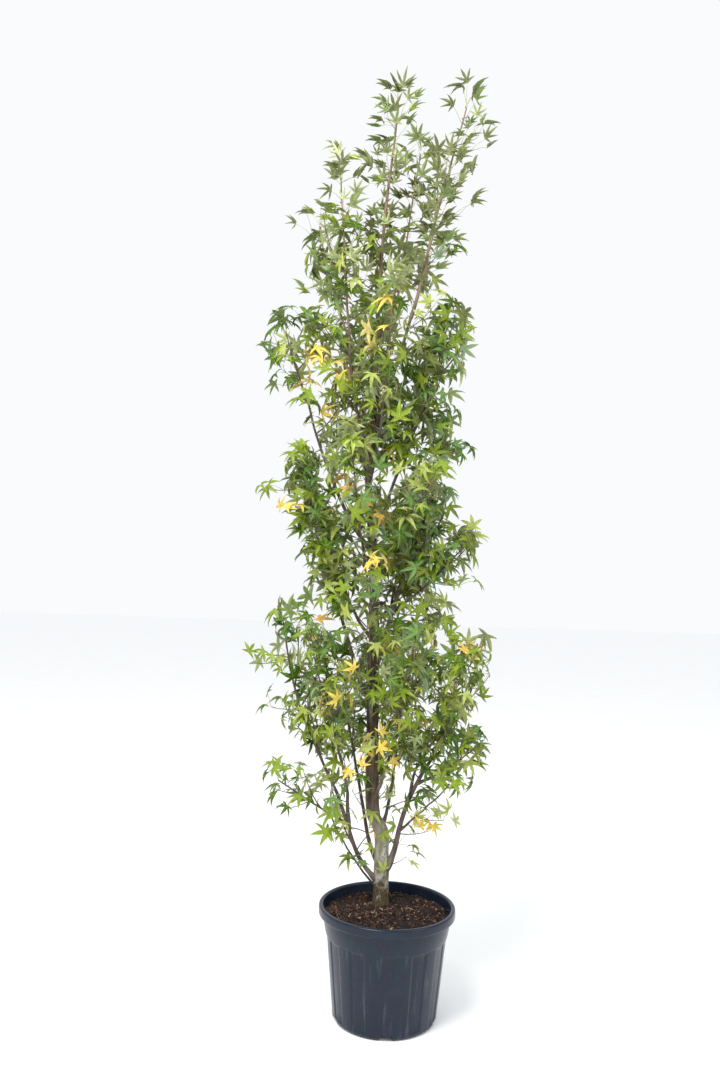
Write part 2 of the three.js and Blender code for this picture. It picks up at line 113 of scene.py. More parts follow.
# The limbs, as in the solids: millimetres and degrees.
TRUNK_DEPTH = 70
TRUNK_BARE_TO = 2740
TRUNK_SPREAD = 160
# The trunk's line: height, place across from the pot's middle, and radius.
TRUNK_ROWS = [
    (366.3, -20, 32), (400, -21, 28.5), (560, -22, 26), (625, -25, 25.5), (655, -37, 25), (680, -54, 24.5),
    (710, -60, 24), (790, -64, 23.5), (900, -68, 22.5),
    (1370, -75, 19), (1650, -86, 15), (1900, -110, 12.5), (2240, -96, 9.5), (2490, -98, 7.5),
    (2800, -87, 6), (3030, -73, 5), (3240, -52, 4), (3405, -40, 2.5),
]
# A bough leaves its limb at its foot's height, steps out by its elbow, bows out to its reach and ends at its
# top. Girth is its radius at the foot, bare the share of its rise below its mass, spread the mass's radius.
BOUGH_COLUMNS = (
    "name", "on", "foot", "heading", "reach", "top", "elbow", "bow", "sway", "girth", "bare", "spread",
)
BOUGHS = [
    ("left_outer", "trunk", 440, -171, 394, 1395, 95, 1, -25, 8.5, 0.38, 175),
    ("left_inner", "left_outer", 640, -127, 166, 1286, 0, 1, -20, 6.5, 0.2, 165),
    ("left_middle", "trunk", 500, 142, 200, 1226, 75, 1, -15, 8, 0.36, 165),
    ("left_low", "left_outer", 662, -176, 257, 815, 0, 1.1, 5, 3.8, 0.35, 150),
    ("right_low", "trunk", 475, -24, 270, 1297, 62, 1, -35, 11, 0.46, 165),
    ("right_shoot", "right_low", 640, -26, 190, 835, 0, 1.1, 0, 3.8, 0.15, 130),
    ("right_spur", "right_low", 820, -18, 210, 970, 0, 1.2, 4, 4.5, 0.2, 150),
    ("right_outer", "right_low", 765, 24, 262, 1240, 0, 1, -38, 5, 0.2, 150),
    ("right_inner", "trunk", 640, 49, 170, 1331, 65, 1, -25, 7, 0.22, 165),
    ("front_low", "trunk", 740, -62, 262, 1320, 30, 1.2, 0, 6.5, 0.2, 165),
    ("back_low", "trunk", 620, 100, 316, 1200, 50, 1.2, 0, 7.5, 0.25, 180),
    ("front_middle", "trunk", 1010, -96, 265, 1560, 30, 1.2, 0, 6, 0.15, 165),
    ("left_lobe", "trunk", 1093, -170, 303, 1991, 40, 1, -8, 8.5, 0.3, 180),
    ("back_right", "trunk", 1200, 66, 306, 1893, 40, 1.2, 0, 7.5, 0.2, 180),
    ("right_middle", "trunk", 1275, 12, 248, 2165, 40, 1.2, -16, 9.5, 0.25, 165),
    ("right_wing", "right_middle", 1440, -20, 265, 1690, 0, 1.2, 4, 4.5, 0.3, 160),
    ("back_left", "trunk", 1335, 143, 288, 1791, 30, 1.15, 6, 6.5, 0.2, 170),
    ("front_right", "trunk", 1605, -41, 254, 1920, 20, 1.2, 6, 6, 0.2, 165),
    ("front_left", "trunk", 1480, -112, 275, 2040, 30, 1.2, 6, 6, 0.2, 165),
    ("left_leader", "trunk", 1665, -177, 355, 2490, 30, 1.25, 10, 7.5, 0.35, 165),
    ("right_leader", "trunk", 1729, -4, 265, 2554, 20, 1.15, -8, 7, 0.25, 165),
    ("back_leader", "trunk", 1780, 104, 250, 2584, 30, 1.25, 8, 7, 0.25, 165),
    ("front_leader", "trunk", 1930, -72, 235, 2600, 30, 1.25, 8, 6.5, 0.2, 160),
    ("top_left", "trunk", 2000, -166, 150, 3100, 20, 1.5, 6, 7, 0.48, 150),
    ("top_far_left", "top_left", 2470, 150, 150, 2930, 0, 1.3, 4, 4, 0.35, 150),
    ("top_right", "trunk", 2091, -2, 325, 3385, 0, 1.1, 8, 8, 0.42, 155),
    ("top_far_right", "top_right", 2560, -22, 125, 3130, 0, 1.3, 4, 5, 0.3, 155),
    ("top_middle", "trunk", 2244, 24, 165, 3240, 0, 1.2, 6, 6, 0.4, 150),
]
LIMB_TIP = 2.4  # mm, radius of a bough's end
ELBOW_TURN = 12  # the higher, the sooner a bough has turned up from its elbow
COLLAR = {"swell": 0.55, "reach": 0.012}  # how a bough thickens where it meets its parent
CROOKS = {"count": 9, "size": 0.0035}  # along one bough
# Skins: the corners round a limb, the metres between its rings, and how deep its furrows and lumps are.
TRUNK_SKIN = (72, 0.006, 0.0011, 0.0022)
BOUGH_SKIN = (14, 0.009, 0.0005, 0.0006)
# How many furrows and lumps there are to a metre, and how deep they may be as a share of the limb's radius.
FURROWS = {"coarse": 150, "fine": 330, "stretch": (1, 1, 0.17), "share": 0.09}
LUMPS = {"scale": (12, 12, 16), "share": 0.12}

# Small leafy shoots, most of them low on the limbs or out at their tips: limb, height, heading, rise, length
# and how many leaves.
SHOOTS = [
    ("trunk", 0.405, 181, 57, 0.42, 9), ("left_outer", 0.552, 178, 68, 0.3, 6),
    ("right_low", 0.51, -35, 30, 0.09, 5), ("right_low", 0.63, -24, 12, 0.13, 5),
    ("right_low", 0.7, 160, 35, 0.06, 2), ("left_outer", 0.5, -120, 30, 0.05, 3),
    ("left_middle", 0.57, -40, 35, 0.06, 3), ("trunk", 0.6, -60, 30, 0.07, 3),
    ("trunk", 0.645, -80, 30, 0.05, 4), ("trunk", 0.69, -40, 25, 0.06, 5),
    ("trunk", 0.72, -115, 25, 0.06, 5), ("left_middle", 0.63, -80, 20, 0.08, 4),
    ("left_outer", 0.62, 215, 15, 0.08, 4), ("left_outer", 0.7, -100, 10, 0.09, 4),
    ("left_inner", 0.74, 230, 25, 0.1, 4), ("left_middle", 0.7, 110, 20, 0.12, 5),
    ("right_low", 0.58, 60, 15, 0.09, 4), ("right_shoot", 0.7, -20, 0, 0.11, 5),
    ("right_spur", 0.86, -60, 0, 0.12, 5), ("back_low", 0.72, 70, 15, 0.12, 5),
    ("right_wing", 1.5, -25, -20, 0.13, 5), ("right_wing", 1.56, 0, -5, 0.12, 5),
    ("left_low", 0.74, 190, -15, 0.1, 5), ("left_low", 0.77, 150, 0, 0.12, 4),
    ("left_outer", 1.26, 190, -8, 0.13, 6), ("left_outer", 1.08, 175, 0, 0.12, 5),
    ("right_outer", 1.16, 10, 0, 0.13, 5), ("right_spur", 0.95, 0, -10, 0.12, 5),
    ("left_lobe", 1.9, 185, -8, 0.13, 6), ("left_lobe", 1.8, 205, 0, 0.13, 5),
    ("left_leader", 2.3, 185, -8, 0.13, 5), ("left_leader", 2.44, 170, 10, 0.1, 4),
    ("top_right", 2.97, 0, 0, 0.09, 4), ("top_right", 3.2, -10, 15, 0.09, 4),
    ("right_low", 1.27, 15, 35, 0.16, 8), ("right_low", 1.2, -45, 50, 0.14, 6),
    ("right_inner", 1.29, 20, 50, 0.17, 8), ("right_inner", 1.31, -60, 60, 0.14, 7),
    ("right_middle", 1.36, -15, 5, 0.2, 9), ("right_middle", 1.44, 20, 0, 0.2, 9),
    ("right_middle", 1.4, -50, 25, 0.16, 7), ("trunk", 1.3, -60, 40, 0.17, 7),
    ("left_middle", 1.2, 165, 60, 0.2, 8), ("left_inner", 1.27, 205, 65, 0.2, 8),
    ("left_inner", 1.25, 150, 50, 0.17, 7), ("trunk", 1.36, 190, 50, 0.2, 8),
    ("top_left", 2.3, 178, 40, 0.17, 8), ("top_left", 2.4, 195, 45, 0.18, 8),
    ("top_left", 2.5, 185, 15, 0.2, 8), ("top_left", 2.62, 175, 25, 0.17, 7),
    ("top_left", 2.22, 210, 30, 0.14, 6), ("top_left", 2.47, 165, 30, 0.15, 6),
    ("top_right", 2.3, -10, 20, 0.16, 7), ("top_right", 2.42, 10, 25, 0.16, 7),
    ("top_right", 2.52, -30, 30, 0.13, 6), ("trunk", 2.45, -80, 45, 0.15, 7),
    ("right_low", 0.55, -50, 35, 0.06, 3), ("trunk", 0.66, 200, 40, 0.07, 4),
]
# Thin twigs that cross from one limb to another: limb and height, twice.
LINKS = [
    ("trunk", 0.632, "right_low", 0.584), ("right_inner", 0.706, "right_low", 0.757),
    ("left_outer", 0.646, "left_middle", 0.61), ("left_outer", 0.56, "left_middle", 0.6),
]
LINK = {"rings": 7, "bow": 0.004, "radii": (2.3, 1.7)}  # the radii in mm, from end to end
STUB = ("right_low", 0.757, 165, 25, 0.019)  # where a shoot was cut off: as a shoot, with no leaves
STUB_RINGS = ((0, 6.5), (0.5, 5.5), (0.9, 5.8), (1, 5.0), (1.02, 0.4))  # share of its length, radius in mm

# The twigs: each is turned by the golden angle from the last, with leaves to both sides.
TWIG = {
    "spacing": 0.045,
    "reach": (0.3, 0.9),  # of the limb's spread
    "growth": (1.15, 0.6),  # times that at the foot of the leafy stretch, and how much less at its end
    "rise": 42,  # degrees
    "rise_spread": 22,
    "curl": 12,  # degrees: lower than that in its first half, and higher in its second
    "bend": 18,  # degrees aside between its halves, at the most
    "radius": 0.0013,  # of one that is 67 mm long, and a longer one is thicker
    "taper": (1.25, 0.6),
    "rings": 5,
    "leaf_spacing": 0.021,
    "leaf_turns": (95, 70),  # degrees aside at its foot, and how much less at its end
    "fork": 0.085,  # a longer twig carries a side twig
    "fork_turn": 50,
}
# The long shoots that stand up beside a limb's stem, and the short spurs up the bare trunk. A share says
# how many grow over or under the fullness at their height.
SHOOT = {
    "spacing": 0.06, "share": -0.4, "length": (0.18, 0.38),
    "part": 0.8,  # of the leafy stretch, from its foot up, that carries them
    "rises": (38, 80),  # degrees, of its lower and its upper part
    "bare": 0.25,  # of its length
    "leaf_spacing": 0.019, "spray": 4,  # leaves of one tint
}
SPUR = {"spacing": 0.035, "from": 1.5, "to": 2.7, "length": (0.05, 0.15), "rise": (15, 60)}
LEAF = {
    # degrees from its stalk: an upright leaf's midrib and its face's lean, and a hanging leaf's face
    "upright_turn": (-45, 45), "upright_rise": (5, 75), "upright_lean": (-40, 40),
    "hanging_turn": (-60, 60), "hanging_rise": (-10, 75),
    "length": (0.036, 0.06),  # of the middle lobe, low down
    "growth": ((1.15, 1.6), (1, 1.22)),  # heights in metres, and how much longer the leaves are there
    "stalk": (0.03, 0.07),
    "top_stalk": (0.045, 0.1),
    "spacing": 0.03,  # of the leaves that sit on the limb itself
    "box": 0.011,  # how far a leaf may stand proud of the solids' box
    "clear": 0.004,  # how near it may come to a limb
    "apart": (0.02, 0.034),  # between the middles of two blades, low down and at the top
    "stalk_radii": (1.2, 0.75, 0.7, 0.9),  # mm, from twig to blade
    "stalk_bow": 0.07,  # of its length
    "stalk_neck": 0.12,  # of its length, before the blade
    "corners": (0.5, 0.8),  # of the blade's length, along and aside: where its side lobes end
    "middle": 0.4,  # of the blade's length
    "skin": 0.004,  # of the blade's length, from its middle to its upper side and to its underside
    "roughness": (0.36, 0.65),  # of those two sides
}
TUFT = {
    "spacing": 0.065, "share": 0.3, "turn": 97, "leaves": 3, "rises": (15, 75),
    "tip_leaves": 5, "tip_rises": (35, 85), "step": 0.004,
}
BUD = {
    "from": 2.2, "spacing": 0.045, "turn": 9000,  # degrees to a metre
    "length": 0.0075, "radii": (1.68, 2.4, 0.24),  # mm, from foot to tip
}
# How much of what could grow does grow, at heights in metres.
FULLNESS = [
    (0.4, 0.6), (0.95, 0.75), (1.3, 0.9), (1.6, 0.95), (2.5, 0.95), (2.7, 0.75), (2.9, 0.37), (3.6, 0.37),
]
# And how much more or less of it on these limbs.
LIMB_FULLNESS = {
    "left_leader": 0.32, "front_low": 1.1, "front_middle": 0.75, "front_left": 0.75, "front_right": 0.75,
    "left_low": 0.65, "top_right": 0.8, "left_outer": 0.62, "left_inner": 1.35, "right_inner": 1.35,
    "left_middle": 1.1, "back_low": 1.2, "back_left": 0.85, "right_leader": 0.95, "right_middle": 1.1,
    "top_far_left": 0.8,
}
# Close about the trunk, up to this height, few leaves are left.
SHADE = {"radius": 0.12, "below": 1.95, "share": 0.36}
# Metres: below the first height no leaf stands with its lobes up, and above the second all do.
UPRIGHT_FROM = (2.6, 2.95)

# The fruits, as in the solids: mass, share of its stem, heading and rise of its stalk.
FRUITS = [("front_leader", 0.75, 180, -30), ("right_wing", 0.78, 200, -25), ("front_left", 0.9, -30, -20)]
FRUIT = {
    "radius": 0.0125, "rows": 14, "columns": 24,
    "spikes": 70, "spike_foot": 0.97, "spike": 0.0045, "spike_radii": (2.1, 1.5, 0.15),  # mm, the last three
    "stalk": 0.045, "stalk_radius": 0.0013, "stalk_bow": 0.004,
}

# Leaf colours, upper side then underside, dealt out by spray.
TINTS = {
    "mid": ((0.19, 0.268, 0.013), (0.37, 0.43, 0.18)),
    "deep": ((0.06, 0.13, 0.002), (0.24, 0.33, 0.11)),
    "blue": ((0.11, 0.215, 0.045), (0.32, 0.42, 0.24)),
    "olive": ((0.116, 0.14, 0.018), (0.24, 0.265, 0.115)),
    "lime": ((0.34, 0.395, 0.085), (0.52, 0.57, 0.29)),
    "yellow": ((0.72, 0.54, 0.09), (0.72, 0.6, 0.2)),
    "amber": ((0.63, 0.37, 0.06), (0.64, 0.47, 0.14)),
}
# Heights, in metres, between which one look of the bark or the pot goes over into the next.
BARK_CHANGES = {"moss": (0.452, 0.49), "bend": (0.57, 0.7), "tan": (1.95, 2.35), "bough_tan": (2.2, 2.75)}
POT_STREAKS_END = (0.28, 0.31)
SKIN_TINTS = {
    "stalk_skin": (0.36, 0.36, 0.12), "rib_skin": (0.33, 0.38, 0.13), "twig_bark": (0.1, 0.062, 0.045),
    "bud_scales": (0.13, 0.045, 0.025), "fruit_skin": (0.06, 0.05, 0.02), "cut_wood": (0.15, 0.05, 0.03),
}
# Where the photograph shows a yellow, amber or lime spray: across and up, in metres, at the front.
AUTUMN = [
    (-0.21, 2.5, "amber"), (-0.17, 2.58, "yellow"), (-0.12, 2.56, "amber"), (-0.08, 2.5, "yellow"),
    (-0.11, 2.46, "yellow"), (0.08, 2.56, "lime"), (-0.07, 2.24, "lime"), (-0.25, 2.14, "yellow"),
    (-0.27, 1.93, "yellow"), (-0.19, 1.9, "amber"), (-0.1, 1.9, "yellow"), (-0.15, 1.82, "amber"),
    (0.0, 1.79, "amber"), (0.06, 1.69, "yellow"), (-0.13, 1.57, "yellow"), (0.07, 1.27, "amber"),
    (-0.07, 1.31, "yellow"), (-0.14, 1.23, "yellow"), (-0.07, 1.24, "amber"), (-0.09, 1.2, "yellow"),
    (-0.22, 1.15, "yellow"), (0.16, 1.26, "lime"), (-0.12, 1.07, "amber"), (0.01, 1.03, "amber"),
    (-0.04, 1.0, "yellow"), (-0.22, 0.98, "yellow"), (-0.17, 0.87, "yellow"), (-0.08, 0.87, "yellow"),
    (-0.17, 0.8, "lime"), (-0.03, 0.67, "yellow"), (-0.07, 0.64, "amber"), (-0.15, 0.66, "lime"),
]
AUTUMN_REACH = 0.034
AUTUMN_SPRAYS = 1  # at one place
AUTUMN_FRONT = ((0.7, 0.8), (0.06, -0.04))  # heights, and how far back a spray there may be for those colours
# The other sprays take their tint by zone, the first whose limits hold: x over, x under, z over, z under. The
# zones are the top, the right, the left low down, and the rest.
TINT_ZONES = (
    ((-9, 9, 2.75, 9), {"olive": 0.54, "mid": 0.25, "deep": 0.14, "lime": 0.07}),
    ((0.1, 9, 1.45, 9), {"blue": 0.36, "mid": 0.38, "olive": 0.14, "deep": 0.05, "lime": 0.07}),
    ((-9, -0.28, 0, 1.45), {"deep": 0.42, "mid": 0.36, "blue": 0.11, "lime": 0.07, "olive": 0.04}),
    ((-9, 9, 0, 9), {"mid": 0.42, "deep": 0.18, "blue": 0.1, "olive": 0.1, "lime": 0.17, "yellow": 0.018,
                     "amber": 0.012}),
)

SKY = {"colour": (0.97, 0.985, 1.0), "strength": 0.98}
FLOOR_REACH = 30.0
# Each lamp: its place, what it faces, its size, its power in watts and its colour.
LAMPS = {
    "key": ((-1.8, -2.4, 5.4), (0, 0, 1.8), 2.4, 265, (0.99, 0.985, 0.97)),
    "fill": ((3.4, -2.6, 3.2), (0, 0, 1.6), 3.0, 50, (0.94, 0.97, 1.0)),
}

# ---- Numbers

def stream(seed):
    """A repeatable stream of numbers: each call gives one between low and high."""
    state = [((seed + 1) * 2654435761) & 0xFFFFFFFF]

    def draw(low, high):
        state[0] = (state[0] * 1664525 + 1013904223) & 0xFFFFFFFF
        return low + (high - low) * state[0] / 4294967296

    return draw


def noise(points, seed=0):
    """Smooth noise from -1 to 1 at an (n, 3) array of points, one cell to a unit."""
    cell = np.floor(points).astype(np.int64)
    part = points - cell
    part = part * part * (3 - 2 * part)
    total = np.zeros(len(points))
    for corner in np.ndindex(2, 2, 2):
        at = (cell + corner).astype(np.uint64)
        key = at[:, 0] * np.uint64(374761393) + at[:, 1] * np.uint64(668265263)
        key = (key + at[:, 2] * np.uint64(2147483647) + np.uint64(seed * 97 + 11)) & np.uint64(0xFFFFFFFF)
        key = ((key ^ (key >> np.uint64(13))) * np.uint64(1274126177)) & np.uint64(0xFFFFFFFF)
        value = (key ^ (key >> np.uint64(16))).astype(float) / 2147483648 - 1
        weight = np.prod(np.where(np.array(corner) == 1, part, 1 - part), axis=1)
        total += value * weight
    return total


def unit(vectors):
    """Vectors, along the last axis, scaled to length 1."""
    size = np.linalg.norm(vectors, axis=-1, keepdims=True)
    return vectors / np.maximum(size, 1e-12)


def direction(heading, rise):
    """A direction by its heading from +X towards +Y and its rise over the level, in degrees."""
    level = math.cos(math.radians(rise))
    turn = math.radians(heading)
    return np.array((level * math.cos(turn), level * math.sin(turn), math.sin(math.radians(rise))))


# ---- Meshes

def mesh_object(name, points, faces, materials, face_slots=None, smooth=True):
    """A mesh from arrays of points and of faces with the same number of corners."""
    faces = np.asarray(faces, dtype=np.int32)
    points = np.asarray(points, dtype=np.float32).reshape(-1, 3)
    sides = faces.shape[1]
    mesh = bpy.data.meshes.new(name)
    mesh.vertices.add(len(points))
    mesh.vertices.foreach_set("co", points.ravel())
    mesh.loops.add(faces.size)
    mesh.loops.foreach_set("vertex_index", faces.ravel())
    mesh.polygons.add(len(faces))
    mesh.polygons.foreach_set("loop_start", np.arange(0, faces.size, sides, dtype=np.int32))
    for material in materials:
        mesh.materials.append(material)
    if face_slots is not None:
        mesh.polygons.foreach_set("material_index", np.asarray(face_slots, dtype=np.int32))
    mesh.polygons.foreach_set("use_smooth", np.full(len(faces), smooth))
    mesh.update(calc_edges=True)
    mesh.validate()
    piece = bpy.data.objects.new(name, mesh)
    bpy.context.scene.collection.objects.link(piece)
    return piece


def dress(piece, slot, *nodes):
    """The piece rides on the part and stands for these nodes, which are hidden. The slot is not used."""
    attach(piece, "root")
    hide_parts(*nodes)
    return piece


def grid_faces(rows, columns, closed=True):
    """Quads between rows of points, round each row when it is closed."""
    span = columns if closed else columns - 1
    i, j = np.meshgrid(np.arange(rows - 1), np.arange(span), indexing="ij")
    i, j = i.ravel(), j.ravel()
    k = (j + 1) % columns
    return np.stack((i * columns + j, i * columns + k, (i + 1) * columns + k, (i + 1) * columns + j), axis=1)


def repeated(faces, count, step, first=0):
    """The faces of many copies of a shape whose points lie one copy after another, step points each."""
    shift = first + np.arange(count) * step
    return (faces[None] + shift[:, None, None]).reshape(-1, faces.shape[1])


def tube_points(path, radii, sides):
    """Rings of points round paths: path (..., k, 3) and radii (..., k) give (..., k, sides, 3)."""
    steep, level = np.array((0.17, 0.31, 0.93)), np.array((1.0, 0.1, 0.0))
    tangent = unit(np.gradient(path, axis=-2))
    aside = np.cross(tangent, steep)
    along_steep = np.linalg.norm(aside, axis=-1, keepdims=True) < 0.05
    aside = unit(np.where(along_steep, np.cross(tangent, level), aside))
    other = np.cross(tangent, aside)
    angle = np.linspace(0, 2 * np.pi, sides, endpoint=False)
    ring = aside[..., None, :] * np.cos(angle)[:, None] + other[..., None, :] * np.sin(angle)[:, None]
    return path[..., None, :] + ring * radii[..., None, None]


def joined_tubes(name, paths, radii, sides, materials):
    """Many tubes with the same number of rings as one mesh."""
    count, rings = paths.shape[0], paths.shape[1]
    faces = repeated(grid_faces(rings, sides), count, rings * sides)
    return mesh_object(name, tube_points(paths, radii, sides), faces, materials)


# ---- Materials

class Nodes:
    """A material's node tree, built up step by step. A texture's stretch is a scale for each axis."""

    def __init__(self, name):
        self.material = bpy.data.materials.new(name)
        self.material.use_nodes = True
        self.tree = self.material.node_tree
        self.shader = self.tree.nodes["Principled BSDF"]

    def add(self, kind, values=(), **settings):
        """A node, with the values of its inputs and its own settings."""
        node = self.tree.nodes.new(kind)
        for key, value in settings.items():
            setattr(node, key, value)
        for key, value in dict(values).items():
            node.inputs[key].default_value = value
        return node

    def link(self, output, target):
        self.tree.links.new(output, target)

    def place(self, stretch=(1, 1, 1)):
        """The object's own coordinates, stretched."""
        coordinates = self.add("ShaderNodeTexCoord")
        mapping = self.add("ShaderNodeMapping", {"Scale": stretch})
        self.link(coordinates.outputs["Object"], mapping.inputs["Vector"])
        return mapping.outputs["Vector"]

    def noise(self, scale, detail=4.0, rough=0.55, stretch=(1, 1, 1)):
        texture = self.add("ShaderNodeTexNoise", {"Scale": scale, "Detail": detail, "Roughness": rough})
        self.link(self.place(stretch), texture.inputs["Vector"])
        return texture.outputs["Fac"]

    def height(self):
        """How high the point lies on the object, in metres."""
        split = self.add("ShaderNodeSeparateXYZ")
        self.link(self.place(), split.inputs[0])
        return split.outputs["Z"]

    def ramp(self, source, stops):
        """Colours along a value: stops are (position, (r, g, b))."""
        node = self.add("ShaderNodeValToRGB")
        elements = node.color_ramp.elements
        while len(elements) < len(stops):
            elements.new(0.5)
        for element, (position, colour) in zip(elements, stops):
            element.position = position
            element.color = (*colour, 1)
        self.link(source, node.inputs["Fac"])
        return node.outputs["Color"]

    def mix(self, factor, first, second):
        """Colours or values mixed: each input is a socket, a colour or a number."""
        node = self.add("ShaderNodeMix", data_type="RGBA")
        for value, socket in ((factor, node.inputs[0]), (first, node.inputs[6]), (second, node.inputs[7])):
            if isinstance(value, bpy.types.NodeSocket):
                self.link(value, socket)
            elif isinstance(value, tuple):
                socket.default_value = (*value, 1)
            else:
                socket.default_value = value
        return node.outputs[2]

    def range(self, source, low, high, to_low=0.0, to_high=1.0):
        """A value between two limits, spread over two others."""
        values = {"From Min": low, "From Max": high, "To Min": to_low, "To Max": to_high}
        node = self.add("ShaderNodeMapRange", values)
        self.link(source, node.inputs["Value"])
        return node.outputs["Result"]

    def overlay(self, base, colour, texture, low, high, most):
        """A colour laid over a base where a texture is high, up to a share."""
        return self.mix(self.range(texture, low, high, 0.0, most), base, colour)

    def bump(self, height, strength, distance):
        node = self.add("ShaderNodeBump", {"Strength": strength, "Distance": distance})
        self.link(height, node.inputs["Height"])
        self.link(node.outputs["Normal"], self.shader.inputs["Normal"])

    def colour(self, output):
        self.link(output, self.shader.inputs["Base Color"])

    def set(self, **values):
        """The shader's own numbers, by the names of its inputs with _ for each space."""
        for key, value in values.items():
            self.shader.inputs[key.replace("_", " ")].default_value = value


def shade(tint, share):
    """A tint made darker or paler."""
    return tuple(c * share for c in tint)


def leaf_material(name, tint, roughness):
    """A leaf surface: its tint with faint cloudy mottling."""
    made = Nodes(name)
    pale = tuple(min(1.0, c * 1.16 + 0.004) for c in tint)
    dark = shade(tint, 0.82)
    made.colour(made.ramp(made.noise(55, 3), [(0.3, dark), (0.5, tint), (0.72, pale)]))
    made.set(Roughness=roughness, Specular_IOR_Level=0.23)
    made.bump(made.noise(420, 2), 0.25, 0.0006)
    return made.material


def bark_material():
    """The trunk's bark: mossy at the foot, pale grey up to its bend, dark brown with orange furrows above
    that, and tan towards the top."""
    made = Nodes("trunk_bark")
    streaks = made.noise(95, 7, 0.62, (1, 1, 0.16))
    patches = made.noise(22, 5, 0.6, (1, 1, 0.55))
    grain = made.noise(260, 4, 0.6, (1, 1, 0.5))
    pale = made.ramp(patches, [(0.3, (0.2, 0.175, 0.13)), (0.5, (0.39, 0.365, 0.31)),
                               (0.72, (0.55, 0.53, 0.48))])
    pale = made.overlay(pale, (0.1, 0.08, 0.05), made.noise(105, 4, 0.65, (1, 1, 0.6)), 0.54, 0.64, 0.75)
    dark = made.ramp(streaks, [(0.34, (0.012, 0.008, 0.006)), (0.5, (0.062, 0.046, 0.032)),
                               (0.6, (0.13, 0.068, 0.03)), (0.76, (0.19, 0.15, 0.1))])
    dark = made.overlay(dark, (0.17, 0.15, 0.1), patches, 0.52, 0.72, 0.5)
    moss = made.ramp(grain, [(0.3, (0.022, 0.018, 0.007)), (0.5, (0.07, 0.05, 0.018)),
                             (0.75, (0.14, 0.11, 0.055))])
    blotches = made.noise(36, 5, 0.65, (1, 1, 0.6))
    pale = made.overlay(pale, (0.15, 0.125, 0.07), made.noise(48, 5, 0.6, (1, 1, 0.3)), 0.5, 0.62, 0.7)
    height = made.height()
    ragged_height = made.mix(0.18, height, patches)
    above = made.range(ragged_height, *BARK_CHANGES["bend"])
    foot = made.range(made.mix(0.3, height, blotches), *BARK_CHANGES["moss"], 1.0, 0.0)
    tan = made.range(ragged_height, *BARK_CHANGES["tan"])
    bark = made.mix(above, pale, dark)
    bark = made.mix(tan, bark, (0.22, 0.15, 0.1))
    made.colour(made.mix(foot, bark, moss))
    made.set(Roughness=0.88)
    made.bump(made.noise(170, 8, 0.7, (1, 1, 0.22)), 0.6, 0.003)
    return made.material


def bough_material():
    """Thin smooth bark, purple-brown with grey film and small pale flecks, and tan near the top."""
    made = Nodes("bough_bark")
    film = made.noise(30, 5, 0.6, (1, 1, 0.3))
    base = made.ramp(film, [(0.3, (0.045, 0.029, 0.024)), (0.52, (0.1, 0.073, 0.058)),
                            (0.75, (0.24, 0.215, 0.175))])
    tan = made.ramp(film, [(0.3, (0.13, 0.085, 0.055)), (0.52, (0.25, 0.17, 0.11)),
                           (0.75, (0.4, 0.31, 0.22))])
    base = made.mix(made.range(made.height(), *BARK_CHANGES["bough_tan"]), base, tan)
    made.colour(made.overlay(base, (0.32, 0.25, 0.18), made.noise(260, 2, 0.5), 0.66, 0.72, 0.7))
    made.set(Roughness=0.72)
    made.bump(made.noise(230, 5, 0.6, (1, 1, 0.4)), 0.5, 0.002)
    return made.material


def plain_material(name, tint, shades, clouds, roughness, grain, relief):
    """A tint between a darker and a paler shade of it, over a fine grain."""
    made = Nodes(name)
    dark, pale = shades
    made.colour(made.ramp(made.noise(*clouds), [(0.3, shade(tint, dark)), (0.7, shade(tint, pale))]))
    made.set(Roughness=roughness)
    made.bump(made.noise(*grain), *relief)
    return made.material


def skin_material(name):
    """The skin of a young twig, a stalk, a bud or a fruit."""
    return plain_material(name, SKIN_TINTS[name], (0.75, 1.2), (60, 3), 0.6, (500, 2), (0.2, 0.0005))


def chip_material(name, tint):
    """A chip of bark on the soil."""
    return plain_material(name, tint, (0.6, 1.25), (160, 4, 0.6), 0.9, (420, 4), (0.6, 0.0015))


def pot_material():
    """Blue-black moulded plastic, dusty and scuffed, with a purple and teal cast, and paler vertical streaks
    below its band."""
    made = Nodes("pot_plastic")
    dust = made.noise(9, 6, 0.65)
    streaks = made.noise(60, 4, 0.6, (1, 1, 0.05))
    black = (0.005, 0.011, 0.027)
    base = made.ramp(dust, [(0.3, (0.003, 0.007, 0.017)), (0.6, black), (0.8, (0.02, 0.029, 0.05))])
    cast = made.noise(26, 3, 0.5, (1, 1, 0.1))
    hue = made.ramp(cast, [(0.38, (0.014, 0.013, 0.034)), (0.5, black), (0.62, (0.003, 0.021, 0.032))])
    base = made.mix(0.4, base, hue)
    # paler vertical streaks laid over the base colour, below the band only
    streaked = made.overlay(base, (0.055, 0.068, 0.09), streaks, 0.54, 0.7, 0.65)
    base = made.mix(made.range(made.height(), *POT_STREAKS_END, 1.0, 0.0), base, streaked)
    scuffs = made.noise(130, 5, 0.75, (1, 1, 0.5))
    made.colour(made.overlay(base, (0.22, 0.23, 0.24), scuffs, 0.7, 0.76, 0.3))
    rough = made.range(dust, 0.3, 0.75, 0.2, 0.36)
    made.link(rough, made.shader.inputs["Roughness"])
    made.set(Specular_IOR_Level=0.33)
    made.bump(made.noise(600, 3, 0.6), 0.1, 0.0005)
    return made.material


def soil_material():
    """The fine crumbs under the bark chips."""
    made = Nodes("soil_crumbs")
    crumbs = made.noise(240, 8, 0.7)
    made.colour(made.ramp(crumbs, [(0.35, (0.004, 0.002, 0.0015)), (0.52, (0.016, 0.008, 0.005)),
                                   (0.75, (0.07, 0.033, 0.02))]))
    made.set(Roughness=0.95)
    made.bump(crumbs, 1.0, 0.006)
    return made.material


# ---- Limbs

